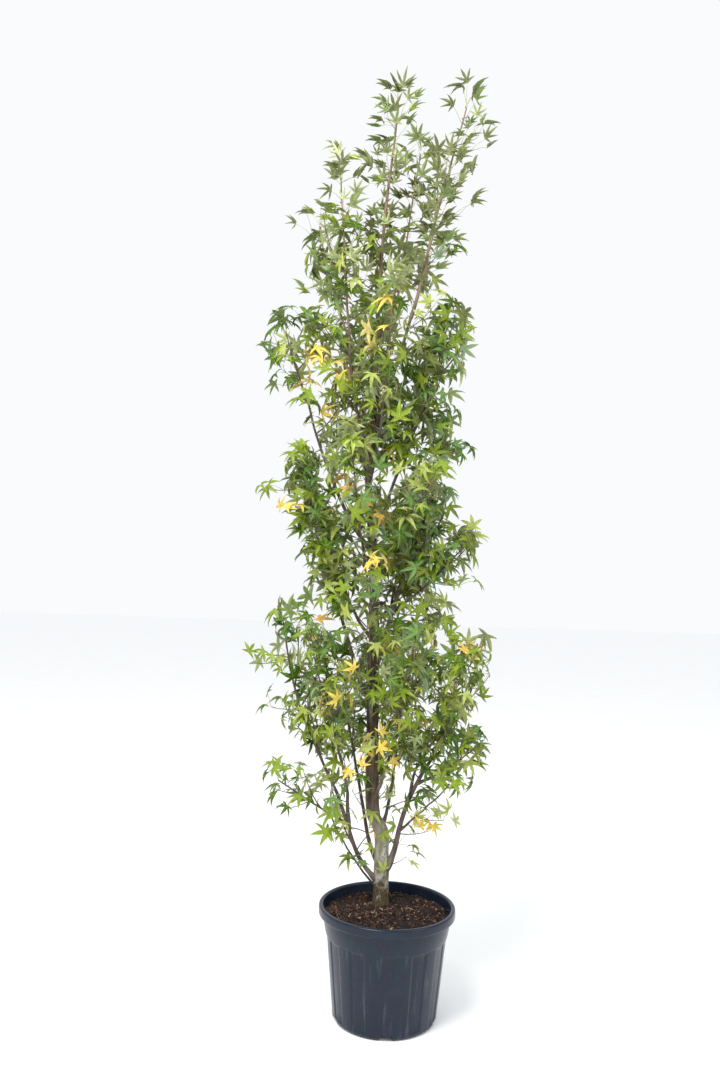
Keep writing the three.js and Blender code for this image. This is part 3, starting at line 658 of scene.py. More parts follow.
def along(rows, at, column):
    """Smooth values from the rows of a table, in one column, at places along its first column."""
    table = np.array(rows, dtype=float)
    place, value = table[:, 0], table[:, column]
    slope = np.empty(len(rows))
    slope[1:-1] = (value[2:] - value[:-2]) / (place[2:] - place[:-2])
    slope[0] = (value[1] - value[0]) / (place[1] - place[0])
    slope[-1] = (value[-1] - value[-2]) / (place[-1] - place[-2])
    i = np.clip(np.searchsorted(place, at, side="right"), 1, len(rows) - 1)
    width = place[i] - place[i - 1]
    s = (at - place[i - 1]) / width
    start = value[i - 1] * (1 + 2 * s) + slope[i - 1] * width * s
    end = value[i] * (3 - 2 * s) - slope[i] * width * (1 - s)
    return start * (1 - s) ** 2 + end * s ** 2


class Limb:
    """A limb rises evenly from its foot to its top, and its points lie at shares t of that rise."""

    def height(self, t):
        """The height at a share, in millimetres."""
        return self.foot + np.asarray(t, dtype=float) * (self.top - self.foot)

    def share_at(self, height):
        """The share at a height in millimetres."""
        return (height - self.foot) / (self.top - self.foot)

    def at_height(self, z):
        """The point at a height in metres."""
        return self.point(self.share_at(z / MM))

    def leafy(self, part):
        """The share at which a part of the leafy stretch is passed."""
        return self.bare + (1 - self.bare) * part

    def length(self, start=0.0, end=1.0):
        line = self.point(np.linspace(start, end, 40))
        return np.linalg.norm(np.diff(line, axis=0), axis=1).sum()


class Trunk(Limb):
    name = "trunk"
    foot, top = TRUNK_ROWS[0][0], TRUNK_ROWS[-1][0]
    spread = TRUNK_SPREAD * MM

    def __init__(self):
        self.bare = self.share_at(TRUNK_BARE_TO)

    def point(self, t):
        """Points of the middle line, in metres."""
        z = self.height(t)
        return np.stack((along(TRUNK_ROWS, z, 1), np.full_like(z, TRUNK_DEPTH), z), axis=-1) * MM

    def radius(self, t):
        return along(TRUNK_ROWS, self.height(t), 2) * MM


class Bough(Limb):
    """A limb that starts on another one, steps out by its elbow and then bows up to its top."""

    def __init__(self, row, limbs):
        self.__dict__.update(zip(BOUGH_COLUMNS, row))
        self.parent = limbs[self.on]
        self.root = self.parent.at_height(self.foot * MM)
        self.spread *= MM

    def point(self, t):
        t = np.asarray(t, dtype=float)
        left = 1 - np.minimum(t, 1)
        step = self.elbow * (1 - left ** ELBOW_TURN)
        run = step + (self.reach - self.elbow) * (1 - left ** self.bow) + self.sway * np.sin(2 * np.pi * t)
        out = direction(self.heading, 0)
        flat = self.root[:2] + run[..., None] * MM * out[:2]
        z = self.height(t) * MM
        return np.concatenate((flat, z[..., None]), axis=-1)

    def radius(self, t):
        return (self.girth + (LIMB_TIP - self.girth) * np.asarray(t) ** 0.8) * MM


def limb_mesh(limb, skin, material):
    """A limb's skin with its relief: long furrows, soft lumps, and a collar where it meets its parent."""
    sides, step, furrow, lump = skin
    rings = int(limb.length() / step)
    t = np.linspace(0, 1, rings)
    path = limb.point(t)
    radii = limb.radius(t)
    if limb.name != "trunk":
        parent = limb.parent
        nearest = parent.point(np.clip(parent.share_at(limb.height(t)), 0, 1))
        clear = np.linalg.norm(path - nearest, axis=1) - parent.radius(parent.share_at(limb.foot))
        radii = radii * (1 + COLLAR["swell"] * np.exp(-np.maximum(clear, 0) / COLLAR["reach"]))
        path = path + crooks(t, limb)
    rounds = tube_points(path, radii, sides)
    points = rounds.reshape(-1, 3)
    out = unit((rounds - path[:, None, :]).reshape(-1, 3))
    drawn = points * np.array(FURROWS["stretch"])
    furrows = 1 - 2 * np.abs(noise(drawn * FURROWS["coarse"], 3)) + 0.5 * noise(drawn * FURROWS["fine"], 5)
    lumps = noise(points * np.array(LUMPS["scale"]), 7)
    size = np.repeat(radii, sides)
    relief = furrows * np.minimum(furrow, size * FURROWS["share"])
    relief += lumps * np.minimum(lump, size * LUMPS["share"])
    points = points + out * relief[:, None]
    return mesh_object(f"bark_{limb.name}", points, grid_faces(rings, sides), [material])


def crooks(t, limb):
    """The small crooks of a bough, none at its ends."""
    seed = sum(map(ord, limb.name))
    level = np.zeros_like(t)
    knots = np.stack((t * CROOKS["count"], level, level), axis=1)
    elsewhere = 31.7  # far enough along the noise to have nothing in common
    shift = np.stack((noise(knots, seed), noise(knots + elsewhere, seed), level), axis=1)
    return shift * (np.sin(np.pi * t) ** 0.5)[:, None] * CROOKS["size"]


# ---- Leaves

LOBE_STATIONS = ((0.34, 0.0), (0.5, 0.15), (0.78, 0.078))  # share of a lobe's length, half width there
RIB_STATIONS = ((0.04, 0.011), (0.4, 0.008), (0.82, 0.004))
RIBBED_LOBES = (1, 2, 3)
BLADE_FOOT = -0.1  # how far behind its stalk's end the blade begins
NOTCH_LIFT = 0.12  # how much of the fold there is at a notch
TIP_DROP = 0.04
LOBE_SAGS = (0.6, 1.6)  # of the blade's droop, and its twist, from lobe to lobe
LOBE_TWISTS = (-0.25, 0.25)
RIB_LIFTS = (0.008, -0.012)  # over the upper side and under the underside


class Blade:
    """A five-lobed blade of unit size in XY, middle lobe along +Y: the points and triangles of its surface,
    and its ribs as strips over and under it."""

    def __init__(self, angles, lengths, width, notch, fold, droop, seed):
        draw = stream(seed)
        self.fold, self.width = fold, width
        self.points, self.faces, self.ribs = [(0.0, 0.0, 0.0)], [], []
        notches = []
        for a, b, la, lb in zip(angles, angles[1:], lengths, lengths[1:]):
            notches.append(len(self.points))
            reach = notch * (la + lb) / 2
            self.points.append(self.spot((a + b) / 2, reach, 0, fold * NOTCH_LIFT - droop * reach ** 2))
        base = len(self.points)
        self.points.append((0.0, BLADE_FOOT, 0.0))
        notches = [base, *notches, base]
        for k, (angle, length) in enumerate(zip(angles, lengths)):
            self.add_lobe(angle, length, droop * draw(*LOBE_SAGS), draw(*LOBE_TWISTS), notches[k:k + 2])
            if k in RIBBED_LOBES:
                self.add_rib(angle, length, droop)
        self.points, self.faces = np.array(self.points), np.array(self.faces)
        self.ribs = np.array(self.ribs)

    def spot(self, angle, far, aside, height):
        """A point by its distance along a lobe and aside from it, and its height."""
        turn = math.radians(angle)
        x, y = math.sin(turn), math.cos(turn)
        return (far * x + aside * y, far * y - aside * x, height)

    def add_lobe(self, angle, length, sag, twist, sides):
        """One lobe, from the notch on its left to the one on its right."""
        row = []
        for share, half in LOBE_STATIONS:
            far = share * length
            for side in (-1, 0, 1) if half else (0,):
                w = side * half * length * self.width
                row.append(len(self.points))
                self.points.append(self.spot(angle, far, w, self.fold * abs(w) + twist * w - sag * far ** 2))
        tip = len(self.points)
        self.points.append(self.spot(angle, length, 0, -sag * length ** 2 - TIP_DROP))
        m1, l2, m2, r2, l3, m3, r3 = row
        left, right = sides
        self.faces += [
            (0, m1, left), (left, m1, m2), (left, m2, l2), (l2, m2, m3), (l2, m3, l3), (l3, m3, tip),
            (0, right, m1), (right, r2, m2), (right, m2, m1), (r2, r3, m3), (r2, m3, m2), (r3, tip, m3),
        ]

    def add_rib(self, angle, length, sag):
        """The rib of one lobe, as a strip over it and one under it."""
        over, under = RIB_LIFTS
        for side in (1, -1):
            strip = []
            for share, half in RIB_STATIONS:
                far = share * length
                lift = self.fold * half + over if side > 0 else under
                for w in (-half * side, half * side):
                    strip.append(self.spot(angle, far, w, lift - sag * far ** 2))
            self.ribs.append(strip)


# Each: the angles and lengths of its lobes, their width, how deep the notches come, how far it folds along
# its lobes, how far it droops, and a seed.
BLADES = [
    Blade((-108, -54, 0, 54, 108), (0.66, 0.93, 1.0, 0.93, 0.66), 0.92, 0.31, 0.5, 0.14, 1),
    Blade((-100, -48, 3, 52, 110), (0.7, 0.9, 1.0, 0.96, 0.62), 0.87, 0.29, 0.7, 0.2, 2),
    Blade((-112, -56, -4, 50, 104), (0.6, 0.95, 1.0, 0.9, 0.7), 0.83, 0.27, 0.9, 0.3, 3),
    Blade((-84, -40, 0, 40, 84), (0.62, 0.9, 1.0, 0.92, 0.66), 0.6, 0.22, 1.6, 0.05, 4),
    Blade((-74, -34, 4, 38, 78), (0.7, 0.95, 1.0, 0.9, 0.68), 0.56, 0.2, 1.9, -0.2, 5),
    Blade((-96, -44, -3, 42, 88), (0.66, 0.88, 1.0, 0.94, 0.7), 0.64, 0.24, 1.4, 0.3, 6),
]
UPRIGHT_BLADES = (3, 4, 5)
HANGING_BLADES = (0, 1, 2)


class Space:
    """The room of a mass, as in the solids: within its spread of its stem."""

    def __init__(self, limb):
        self.line = limb.point(limb.leafy(np.linspace(0, 1, 11)))
        self.spread = limb.spread

    def holds(self, points):
        """Whether all of these points lie in it."""
        far = np.linalg.norm(points[:, None] - self.line[None], axis=2).min(axis=1)
        return bool(np.all(far < self.spread))


def bend_at(bend, place):
    """A point of the curve from the first point past the second to the third."""
    foot, middle, end = bend
    return foot * (1 - place) ** 2 + 2 * place * (1 - place) * middle + place ** 2 * end


def bend_to(bend, place):
    """The part of that curve up to a place."""
    return bend[0], bend[0] * (1 - place) + bend[1] * place, bend_at(bend, place)


class Spray:
    """Leaves that share a twig or a tuft, and so a tint."""

    def __init__(self, crown):
        self.crown = crown
        self.leaves = []
        self.stalks = []

    def grow_leaf(self, at, heading, rise, scale=1.0):
        """One leaf: a stalk out and up, then the blade bent over at its end, or upright near the top."""
        draw = self.crown.draw
        low, high = UPRIGHT_FROM
        upright = draw(0, 1) < (at[2] - low) / (high - low)
        stalk = draw(*LEAF["top_stalk" if upright else "stalk"]) * scale
        size = draw(*LEAF["length"]) * scale * np.interp(at[2], *LEAF["growth"])
        out = direction(heading, rise)
        palm = at + out * stalk
        if upright:
            midrib = direction(heading + draw(*LEAF["upright_turn"]), draw(*LEAF["upright_rise"]))
            normal = unit(np.cross(direction(heading - 90, draw(*LEAF["upright_lean"])), midrib))
        else:
            normal = direction(heading + draw(*LEAF["hanging_turn"]), draw(*LEAF["hanging_rise"]))
            loose = out * 0.7 + np.array((draw(-1, 1), draw(-1, 1), draw(-1.1, 0.75)))
            midrib = unit(loose - normal * (loose @ normal))
        across = np.cross(midrib, normal)
        along_it, aside = LEAF["corners"]
        sides = (midrib * along_it + across * aside, midrib * along_it - across * aside)
        corners = palm + size * np.array((midrib, *sides, 0 * out))
        if not self.crown.claim(corners, palm + midrib * size * LEAF["middle"]):
            return False
        blades = UPRIGHT_BLADES if upright else HANGING_BLADES
        blade = blades[int(draw(0, len(blades)))]
        self.leaves.append((blade, palm, np.stack((across, midrib, normal)) * size))
        bow = at + out * stalk * 0.5 + np.array((0, 0, LEAF["stalk_bow"] * stalk))
        neck = palm - out * stalk * LEAF["stalk_neck"]
        self.stalks.append((at, bow, neck, palm + midrib * size * 0.02))
        return True

    def settle(self, tint):
        """Hands the leaves to the crown, and says whether there are any."""
        self.crown.leaves[tint] += self.leaves
        self.crown.stalks += self.stalks
        return bool(self.leaves)


class Crown:
    """Collects the leaves, stalks, twigs and buds of all the masses, and then makes them in a few pieces."""

    def __init__(self, limbs, wood):
        self.leaves = {tint: [] for tint in TINTS}
        self.stalks, self.twigs, self.buds = [], [], []
        self.limbs, self.wood = limbs, wood
        self.taken, self.turned = {}, {}  # the blades by cell of space, and the sprays by autumn place
        self.low, self.high = (np.array(end) + way * LEAF["box"] for end, way in zip(cad_box, (-1, 1)))
        self.room = [Space(limb) for limb in limbs.values()]

    def claim(self, corners, middle):
        """Takes the room for a leaf, if it is in its mass's space and clear of wood and other leaves."""
        if np.any(corners < self.low) or np.any(corners > self.high):
            return False
        if not any(space.holds(corners) for space in self.spaces):
            return False
        if middle[2] < SHADE["below"]:
            stem = self.limbs["trunk"].at_height(middle[2])
            if math.dist(stem, middle) < SHADE["radius"] and self.draw(0, 1) > SHADE["share"]:
                return False
        apart = np.interp(middle[2], UPRIGHT_FROM, LEAF["apart"])
        cell = tuple(int(v) for v in np.floor(middle / LEAF["apart"][1]))
        for step in np.ndindex(3, 3, 3):
            for other in self.taken.get(tuple(c + k - 1 for c, k in zip(cell, step)), ()):
                if math.dist(other, middle) < apart:
                    return False
        if any(self.wood.find_nearest(Vector(c), LEAF["clear"])[0] is not None for c in corners):
            return False
        self.taken.setdefault(cell, []).append(middle)
        return True

    def grow(self, limb, seed):
        """Twigs, tufts, single leaves and buds up the leafy part of a limb, within its solid mass's space."""
        self.draw = draw = stream(seed)
        self.spaces = [Space(limb)]
        self.fullness = LIMB_FULLNESS.get(limb.name, 1.0)
        length = limb.length(limb.bare)
        start = draw(0, 360)
        self.grow_tuft(limb.point(1), start, TUFT["tip_leaves"], TUFT["tip_rises"])
        twigs = int(length / TWIG["spacing"])
        low, less = TWIG["growth"]
        for i in range(twigs):
            part = (i + draw(0, 0.9)) / twigs
            foot = limb.point(limb.leafy(part))
            size = limb.spread * draw(*TWIG["reach"]) * (low - less * part)
            if self.grows(foot):
                rise = TWIG["rise"] + draw(-TWIG["rise_spread"], TWIG["rise_spread"])
                self.grow_twig(foot, start + i * GOLDEN_ANGLE, rise, size)
        shoots = int(length / SHOOT["spacing"])
        for i in range(shoots):
            foot = limb.point(limb.leafy((i + draw(-0.4, 0.4)) / shoots * SHOOT["part"]))
            if self.grows(foot, SHOOT["share"]):
                self.grow_shoot(foot, start + 40 + i * GOLDEN_ANGLE, draw(*SHOOT["length"]))
        tufts = int(length / TUFT["spacing"])
        for i in range(tufts):
            at = limb.point(limb.leafy((i + 0.5) / tufts))
            if self.grows(at, TUFT["share"]):
                self.grow_tuft(at, start + 60 + i * TUFT["turn"], TUFT["leaves"], TUFT["rises"])
        leaves = int(length / LEAF["spacing"])
        for i in range(leaves):
            at = limb.point(limb.leafy((i + draw(0, 1)) / leaves))
            if self.grows(at):
                spray = Spray(self)
                spray.grow_leaf(at, start + 70 + i * GOLDEN_ANGLE, draw(20, 65))
                spray.settle(self.tint(at))
        for z in np.arange(max(BUD["from"], limb.point(0.2)[2]), limb.point(1)[2], BUD["spacing"]):
            self.add_bud(limb, z, start + z * BUD["turn"])

    def grows(self, at, more=0.0):
        """Whether something grows at this place, as its height and its limb have it."""
        return self.draw(0, 1) < (np.interp(at[2], *np.transpose(FULLNESS)) + more) * self.fullness

    def grow_tuft(self, at, heading, count, rises):
        """Leaves all round one place on a limb, each a little above the last."""
        spray = Spray(self)
        for k in range(count):
            lifted = at + np.array((0, 0, TUFT["step"] * k))
            spray.grow_leaf(lifted, heading + k * GOLDEN_ANGLE + self.draw(-20, 20), self.draw(*rises), 1.05)
        spray.settle(self.tint(at + direction(heading, 0) * 0.05))

    def grow_twig(self, foot, heading, rise, size, fork=True, leaves=0):
        """A twig that turns up a little, with leaves to both sides and maybe a side twig."""
        draw = self.draw
        middle = foot + direction(heading, rise - TWIG["curl"]) * size * 0.5
        turned = heading + draw(-TWIG["bend"], TWIG["bend"])
        end = middle + direction(turned, rise + TWIG["curl"]) * size * 0.5
        spray = Spray(self)
        last = 0
        count = leaves or max(3, int(size / TWIG["leaf_spacing"]))
        wide, less = TWIG["leaf_turns"]
        for k in range(count):
            place = (k + 0.8) / count
            at = bend_at((foot, middle, end), place)
            aside = (1 if k % 2 else -1) * (wide - less * place)
            if spray.grow_leaf(at, heading + aside + draw(-30, 30), draw(-5, 65), 0.85 + 0.2 * place):
                last = place
        if spray.settle(self.tint(end)):
            self.twigs.append(bend_to((foot, middle, end), last))
            if fork and size > TWIG["fork"]:
                at = foot * 0.2 + middle * 0.5 + end * 0.3
                aside = TWIG["fork_turn"] if draw(0, 1) < 0.5 else -TWIG["fork_turn"]
                self.grow_twig(at, heading + aside, rise + draw(-25, 15), size * 0.5, False)

    def grow_shoot(self, foot, heading, size):
        """A long shoot that leans out and then stands up, with leaves all round it."""
        draw = self.draw
        flat, steep = SHOOT["rises"]
        middle = foot + direction(heading, flat + draw(-10, 10)) * size * 0.45
        end = middle + direction(heading + draw(-25, 25), steep + draw(-8, 5)) * size * 0.55
        count = int(size / SHOOT["leaf_spacing"])
        last = 0
        for k in range(0, count, SHOOT["spray"]):
            spray = Spray(self)
            for n in range(k, min(k + SHOOT["spray"], count)):
                place = SHOOT["bare"] + (1 - SHOOT["bare"]) * (n + draw(0, 1)) / count
                at = bend_at((foot, middle, end), place)
                if spray.grow_leaf(at, heading + n * GOLDEN_ANGLE, draw(0, 65), 1.05 - 0.15 * place):
                    last = place
            spray.settle(self.tint(at))
        if last:
            self.twigs.append(bend_to((foot, middle, end), last))

    def grow_spurs(self, trunk):
        """Short leafy spurs up the bare trunk, in the room of all the masses."""
        self.spaces = self.room
        self.draw = draw = stream(5)
        for i, z in enumerate(np.arange(SPUR["from"], SPUR["to"], SPUR["spacing"])):
            rise, size = draw(*SPUR["rise"]), draw(*SPUR["length"])
            self.grow_twig(trunk.at_height(z), i * GOLDEN_ANGLE, rise, size, False)

    def add_bud(self, limb, z, heading):
        """A bud that stands out of a limb's skin at a height in metres."""
        t = limb.share_at(z / MM)
        out = direction(heading, 45)
        foot = limb.point(t) + out * limb.radius(t) * 0.8
        self.buds.append((foot, foot + out * BUD["length"] * 0.5, foot + out * BUD["length"]))

    def tint(self, centre):
        """The tint of a spray: as the photograph shows it where the place is named, and else by zone."""
        x, y, z = centre
        if y < np.interp(z, *AUTUMN_FRONT):
            for ax, az, tint in AUTUMN:
                near = (x - ax) ** 2 + (z - az) ** 2 < AUTUMN_REACH ** 2
                if near and self.turned.get((ax, az), 0) < AUTUMN_SPRAYS:
                    self.turned[ax, az] = self.turned.get((ax, az), 0) + 1
                    return tint
        shares = next(shares for (x_from, x_to, z_from, z_to), shares in TINT_ZONES
                      if x_from < x < x_to and z_from < z < z_to)
        roll = self.draw(0, 1)
        for tint, share in shares.items():
            roll -= share
            if roll < 0:
                return tint
        return "mid"

    def grow_shoots(self):
        """The small leafy shoots that are named one by one, which may stand out of the masses."""
        everywhere = Space(self.limbs["trunk"])
        everywhere.spread = self.high[2]
        self.spaces = [everywhere]
        self.draw = stream(7)
        for name, height, heading, rise, size, leaves in SHOOTS:
            limb = self.limbs[name]
            self.grow_twig(limb.at_height(height), heading, rise, size, False, leaves)

    def make(self, masses):
        """The leaves of each tint, and all the ribs, stalks, twigs and buds, each as one piece."""
        for tint, colours in TINTS.items():
            names = (f"leaf_{tint}", f"leaf_{tint}_under")
            skins = [leaf_material(*side) for side in zip(names, colours, LEAF["roughness"])]
            dress(leaf_piece(f"leaves_{tint}_tint", self.leaves[tint], skins), "leaves", *masses)
        dress(rib_piece([row for tint in TINTS for row in self.leaves[tint]]), "leaves", *masses)
        radii = np.array(LEAF["stalk_radii"]) * MM
        skin = skin_material("stalk_skin")
        dress(joined_tubes("leaf_stalks", np.array(self.stalks), radii, 3, [skin]), "leaves", *masses)
        feet, middles, ends = np.array(self.twigs).swapaxes(0, 1)
        bends = (feet[:, None], middles[:, None], ends[:, None])
        paths = bend_at(bends, np.linspace(0, 1, TWIG["rings"])[:, None])
        size = np.linalg.norm(ends - feet, axis=1)
        radii = (TWIG["radius"] * (0.6 + 6 * size))[:, None] * np.linspace(*TWIG["taper"], TWIG["rings"])
        bark = skin_material("twig_bark")
        dress(joined_tubes("twigs", paths, radii, 5, [bark]), "bough_bark", *masses)
        radii = np.array(BUD["radii"]) * MM
        scales = skin_material("bud_scales")
        dress(joined_tubes("buds", np.array(self.buds), radii, 6, [scales]), "bough_bark", *masses)


def search_tree(pieces):
    """A search tree over the faces of these pieces."""
    points, faces = [], []
    for piece in pieces:
        base = len(points)
        points += [v.co for v in piece.data.vertices]
        faces += [[base + i for i in p.vertices] for p in piece.data.polygons]
    return BVHTree.FromPolygons(points, faces)


def placed(shape, rows):
    """A shape's points under the frame of each leaf: (leaves, points, 3)."""
    palms = np.array([row[1] for row in rows])
    frames = np.array([row[2] for row in rows])
    return np.einsum("pk,nkj->npj", shape, frames) + palms[:, None, :]


def by_blade(rows):
    """Each blade that has leaves among the rows, with those rows."""
    for k, blade in enumerate(BLADES):
        chosen = [row for row in rows if row[0] == k]
        if chosen:
            yield blade, chosen


def leaf_piece(name, rows, materials):
    """All leaves of a tint as one mesh: for each, its upper side and just below it its underside."""
    points, faces, slots = [], [], []
    first = 0
    for blade, chosen in by_blade(rows):
        for layer, lift in enumerate((LEAF["skin"], -LEAF["skin"])):
            made = placed(blade.points + np.array((0, 0, lift)), chosen)
            turned = blade.faces if layer else blade.faces[:, ::-1]
            points.append(made.reshape(-1, 3))
            faces.append(repeated(turned, len(chosen), len(blade.points), first))
            slots.append(np.full(len(chosen) * len(turned), layer))
            first += len(points[-1])
    return mesh_object(name, np.concatenate(points), np.concatenate(faces), materials, np.concatenate(slots))


def rib_piece(rows):
    """The pale ribs of all the leaves."""
    points = np.concatenate([placed(blade.ribs.reshape(-1, 3), chosen).reshape(-1, 3)
                             for blade, chosen in by_blade(rows)])
    strip = grid_faces(len(RIB_STATIONS), 2, closed=False)
    strip_points = 2 * len(RIB_STATIONS)
    faces = repeated(strip, len(points) // strip_points, strip_points)
    return mesh_object("leaf_ribs", points, faces, [skin_material("rib_skin")])


def make_fruits(limbs):
    """Hanging spiky balls, each a small core with a cone for every seed capsule's beak."""
    golden = math.pi * (3 - math.sqrt(5))
    k = np.arange(FRUIT["spikes"]) + 0.5
    z = 1 - 2 * k / FRUIT["spikes"]
    across = np.sqrt(1 - z * z)
    out = np.stack((across * np.cos(golden * k), across * np.sin(golden * k), z), axis=1)
    far = FRUIT["radius"] * FRUIT["spike_foot"] + FRUIT["spike"] * np.array((0.0, 0.35, 1.0))
    spikes = out[:, None] * far[:, None]
    rows, columns = FRUIT["rows"], FRUIT["columns"]
    turn = np.linspace(0, 2 * np.pi, columns, endpoint=False)
    tilt = np.linspace(0.02, np.pi - 0.02, rows)[:, None]
    level = np.sin(tilt)
    core = np.stack((level * np.cos(turn), level * np.sin(turn), np.cos(tilt) + 0 * turn), axis=-1)
    core = core.reshape(-1, 3) * FRUIT["radius"]
    skin = skin_material("fruit_skin")
    for i, (mass, part, heading, rise) in enumerate(FRUITS):
        start = limbs[mass].point(limbs[mass].leafy(part))
        ball = start + direction(heading, rise) * FRUIT["stalk"]
        radii = np.array(FRUIT["spike_radii"]) * MM
        beaks = joined_tubes(f"fruit_{i}_beaks", spikes + ball, radii, 5, [skin])
        body = mesh_object(f"fruit_{i}", core + ball, grid_faces(rows, columns), [skin])
        way = np.array([[start, (start + ball) / 2 + np.array((0, 0, FRUIT["stalk_bow"])), ball]])
        stalk = joined_tubes(f"fruit_{i}_stalk", way, np.full(3, FRUIT["stalk_radius"]), 6, [skin])
        for piece in (beaks, body, stalk):
            dress(piece, "leaves", f"leaves_{mass}")


def make_links(limbs, bark):
    """The thin twigs that cross between limbs, and the stub of a cut shoot."""
    share = np.linspace(0, 1, LINK["rings"])[:, None]
    bow = np.array((0, 0, LINK["bow"])) * np.sin(np.pi * share)
    paths = []
    for one, low, other, high in LINKS:
        start, end = limbs[one].at_height(low), limbs[other].at_height(high)
        paths.append(start * (1 - share) + end * share + bow)
    radii = np.linspace(*LINK["radii"], LINK["rings"]) * MM
    dress(joined_tubes("crossing_twigs", np.array(paths), radii, 8, [bark]), "bough_bark", "bough_right_low")
    name, height, heading, rise, size = STUB
    share, radii = np.transpose(STUB_RINGS)
    path = limbs[name].at_height(height) + direction(heading, rise) * size * share[:, None]
    stub = joined_tubes("pruned_stub", path[None], radii * MM, 10, [skin_material("cut_wood")])
    dress(stub, "bough_bark", "bough_right_low")


# ---- Pot and soil

def pot_wall(z):
    """The radius of the fluted wall at a height."""
    return POT["base_radius"] + (POT["wall_radius"] - POT["base_radius"]) * (z / POT["band_foot"])


def pot_profile():
    """Points from the middle of the underside, up outside, over the rim and down inside to under the soil.
    Each: radius, height, and how far the flutes shape it, from 0 to 1."""
    base, bevel = POT["base_radius"], POT["bevel"]
    band, foot, top = POT["band_foot"], POT["band_radius"], POT["band_top_radius"]
    hang, lip, height, mouth = POT["collar_foot"], POT["collar_radius"], POT["height"], POT["mouth_radius"]
    cut, notch = base - POT["notch_depth"], POT["notch_height"]
    # the underside, then the rounded edge at its foot
    rows = [(0, 0, 0), (60, 0, 0), (cut, 0, 0), (cut + 0.5, 0, 0)]
    rows += [(base - bevel + (pot_wall(bevel) - base + bevel) * math.sin(a), bevel * (1 - math.cos(a)), 0)
             for a in np.radians((0, 20, 40, 60, 75, 90))]
    # the fluted wall, which ends in a step out to the band
    rows += [(pot_wall(z), z, share) for z, share in ((notch + 0.1, 0), (notch + 2, 0.3))]
    rows += [(pot_wall(z), z, 1) for z in np.linspace(notch + 6, band - 12, 15)]
    rows += [(pot_wall(band - drop), band - drop, share) for drop, share in ((7, 0.8), (3, 0.2), (1.5, 0))]
    rows += [(foot - 0.8, band - 0.8, 0), (foot, band + 0.6, 0), (foot + 0.6, band + 3, 0)]
    rows += [(foot + (top - foot) * share + 1.6 * math.sin(math.pi * share), band + (hang - band) * share, 0)
             for share in np.linspace(0.1, 0.95, 8)]
    # the collar, its rolled lip and the inside
    rows += [(top, hang - 1, 0), (top + 3, hang + 0.6, 0), (lip - 4, hang + 1.6, 0), (lip - 1, hang + 3, 0)]
    rows += [(lip + 0.4 * math.sin(math.pi * share), hang + 5 + (height - hang - 12) * share, 0)
             for share in np.linspace(0, 1, 5)]
    rows += [(lip - 6 + 6 * math.cos(a), height - 7 + 7 * math.sin(a), 0)
             for a in np.radians((15, 30, 45, 60, 75, 90))]
    rows += [(mouth + out, height - down, 0) for out, down in ((5, 0.2), (2, 1), (0.4, 3), (-0.4, 8))]
    rows += [(top - POT["wall"] + 1, hang + 2, 0)]
    rows += [(mouth - 5, SOIL["level"] + 0.5, 0), (mouth - 9, SOIL["level"] - 12, 0)]
    return rows


def make_pot():
    """The pot: its flutes are proud faces and sunk faces with soft edges between them."""
    rows = pot_profile()
    columns = POT["flutes"] * POT_COLUMNS
    turn = np.arange(columns) * 360 / columns
    angle = np.radians(turn)
    flute, half = 360 / POT["flutes"], 180 / POT["flutes"]
    face = half - POT["flute_edge"]
    within = (turn - POT["first_flute"]) % flute
    sunk = np.interp(within, (0, face, half, half + face, flute), (0, 0, 1, 1, 0))
    notch_turn = 360 / POT["notches"]
    from_notch = (turn - POT["first_notch"] + notch_turn / 2) % notch_turn - notch_turn / 2
    notched = np.abs(np.radians(from_notch)) * POT["base_radius"] < POT["notch_width"] / 2
    points = []
    for radius, height, fluted in rows:
        r = radius - POT["flute_depth"] * sunk * fluted
        z = np.full(columns, float(height))
        if radius > POT["base_radius"] - POT["notch_depth"] and height < POT["notch_height"]:
            z[notched] = POT["notch_height"]
        points.append(np.stack((r * np.cos(angle), r * np.sin(angle), z), axis=1))
    points = np.array(points).reshape(-1, 3) * MM
    dress(mesh_object("pot_shell", points, grid_faces(len(rows), columns), [pot_material()]), "pot", "pot")


def from_trunk(x, y):
    """How far places on the soil are from the middle of the trunk's foot, in metres."""
    foot = Trunk().point(0.0)
    return np.hypot(x - foot[0], y - foot[1])


def soil_height(x, y):
    """The height of the soil's surface, in metres."""
    foot, top = SOIL["mound_foot"], SOIL["mound_top"]
    slope = np.clip((foot - from_trunk(x, y) / MM) / (foot - top), 0, 1)
    rise = (SOIL["mound"] - SOIL["level"]) * slope * slope * (3 - 2 * slope)
    at = np.stack((x, y, np.zeros_like(x)), axis=-1).reshape(-1, 3)
    rough = sum(noise(at * lumps, seed) * high for lumps, high, seed in SOIL_LUMPS)
    return (SOIL["level"] + rise + rough.reshape(x.shape)) * MM


def make_soil():
    """The crumbly surface of the soil."""
    rings, columns = SOIL_GRID
    far = np.linspace(0, 1, rings)[:, None] * SOIL["radius"] * MM
    angle = np.linspace(0, 2 * np.pi, columns, endpoint=False)[None]
    x, y = far * np.cos(angle), far * np.sin(angle)
    surface = np.stack((x, y, soil_height(x, y)), axis=-1).reshape(-1, 3)
    fill = mesh_object("soil_surface", surface, grid_faces(rings, columns), [soil_material()])
    dress(fill, "soil", "soil")


def turns(angles, axis):
    """A matrix for each angle, which turns about the axis with this number."""
    one, other = (axis + 1) % 3, (axis + 2) % 3
    made = np.zeros((len(angles), 3, 3))
    made[:, axis, axis] = 1
    made[:, one, one] = made[:, other, other] = np.cos(angles)
    made[:, other, one] = np.sin(angles)
    made[:, one, other] = -made[:, other, one]
    return made


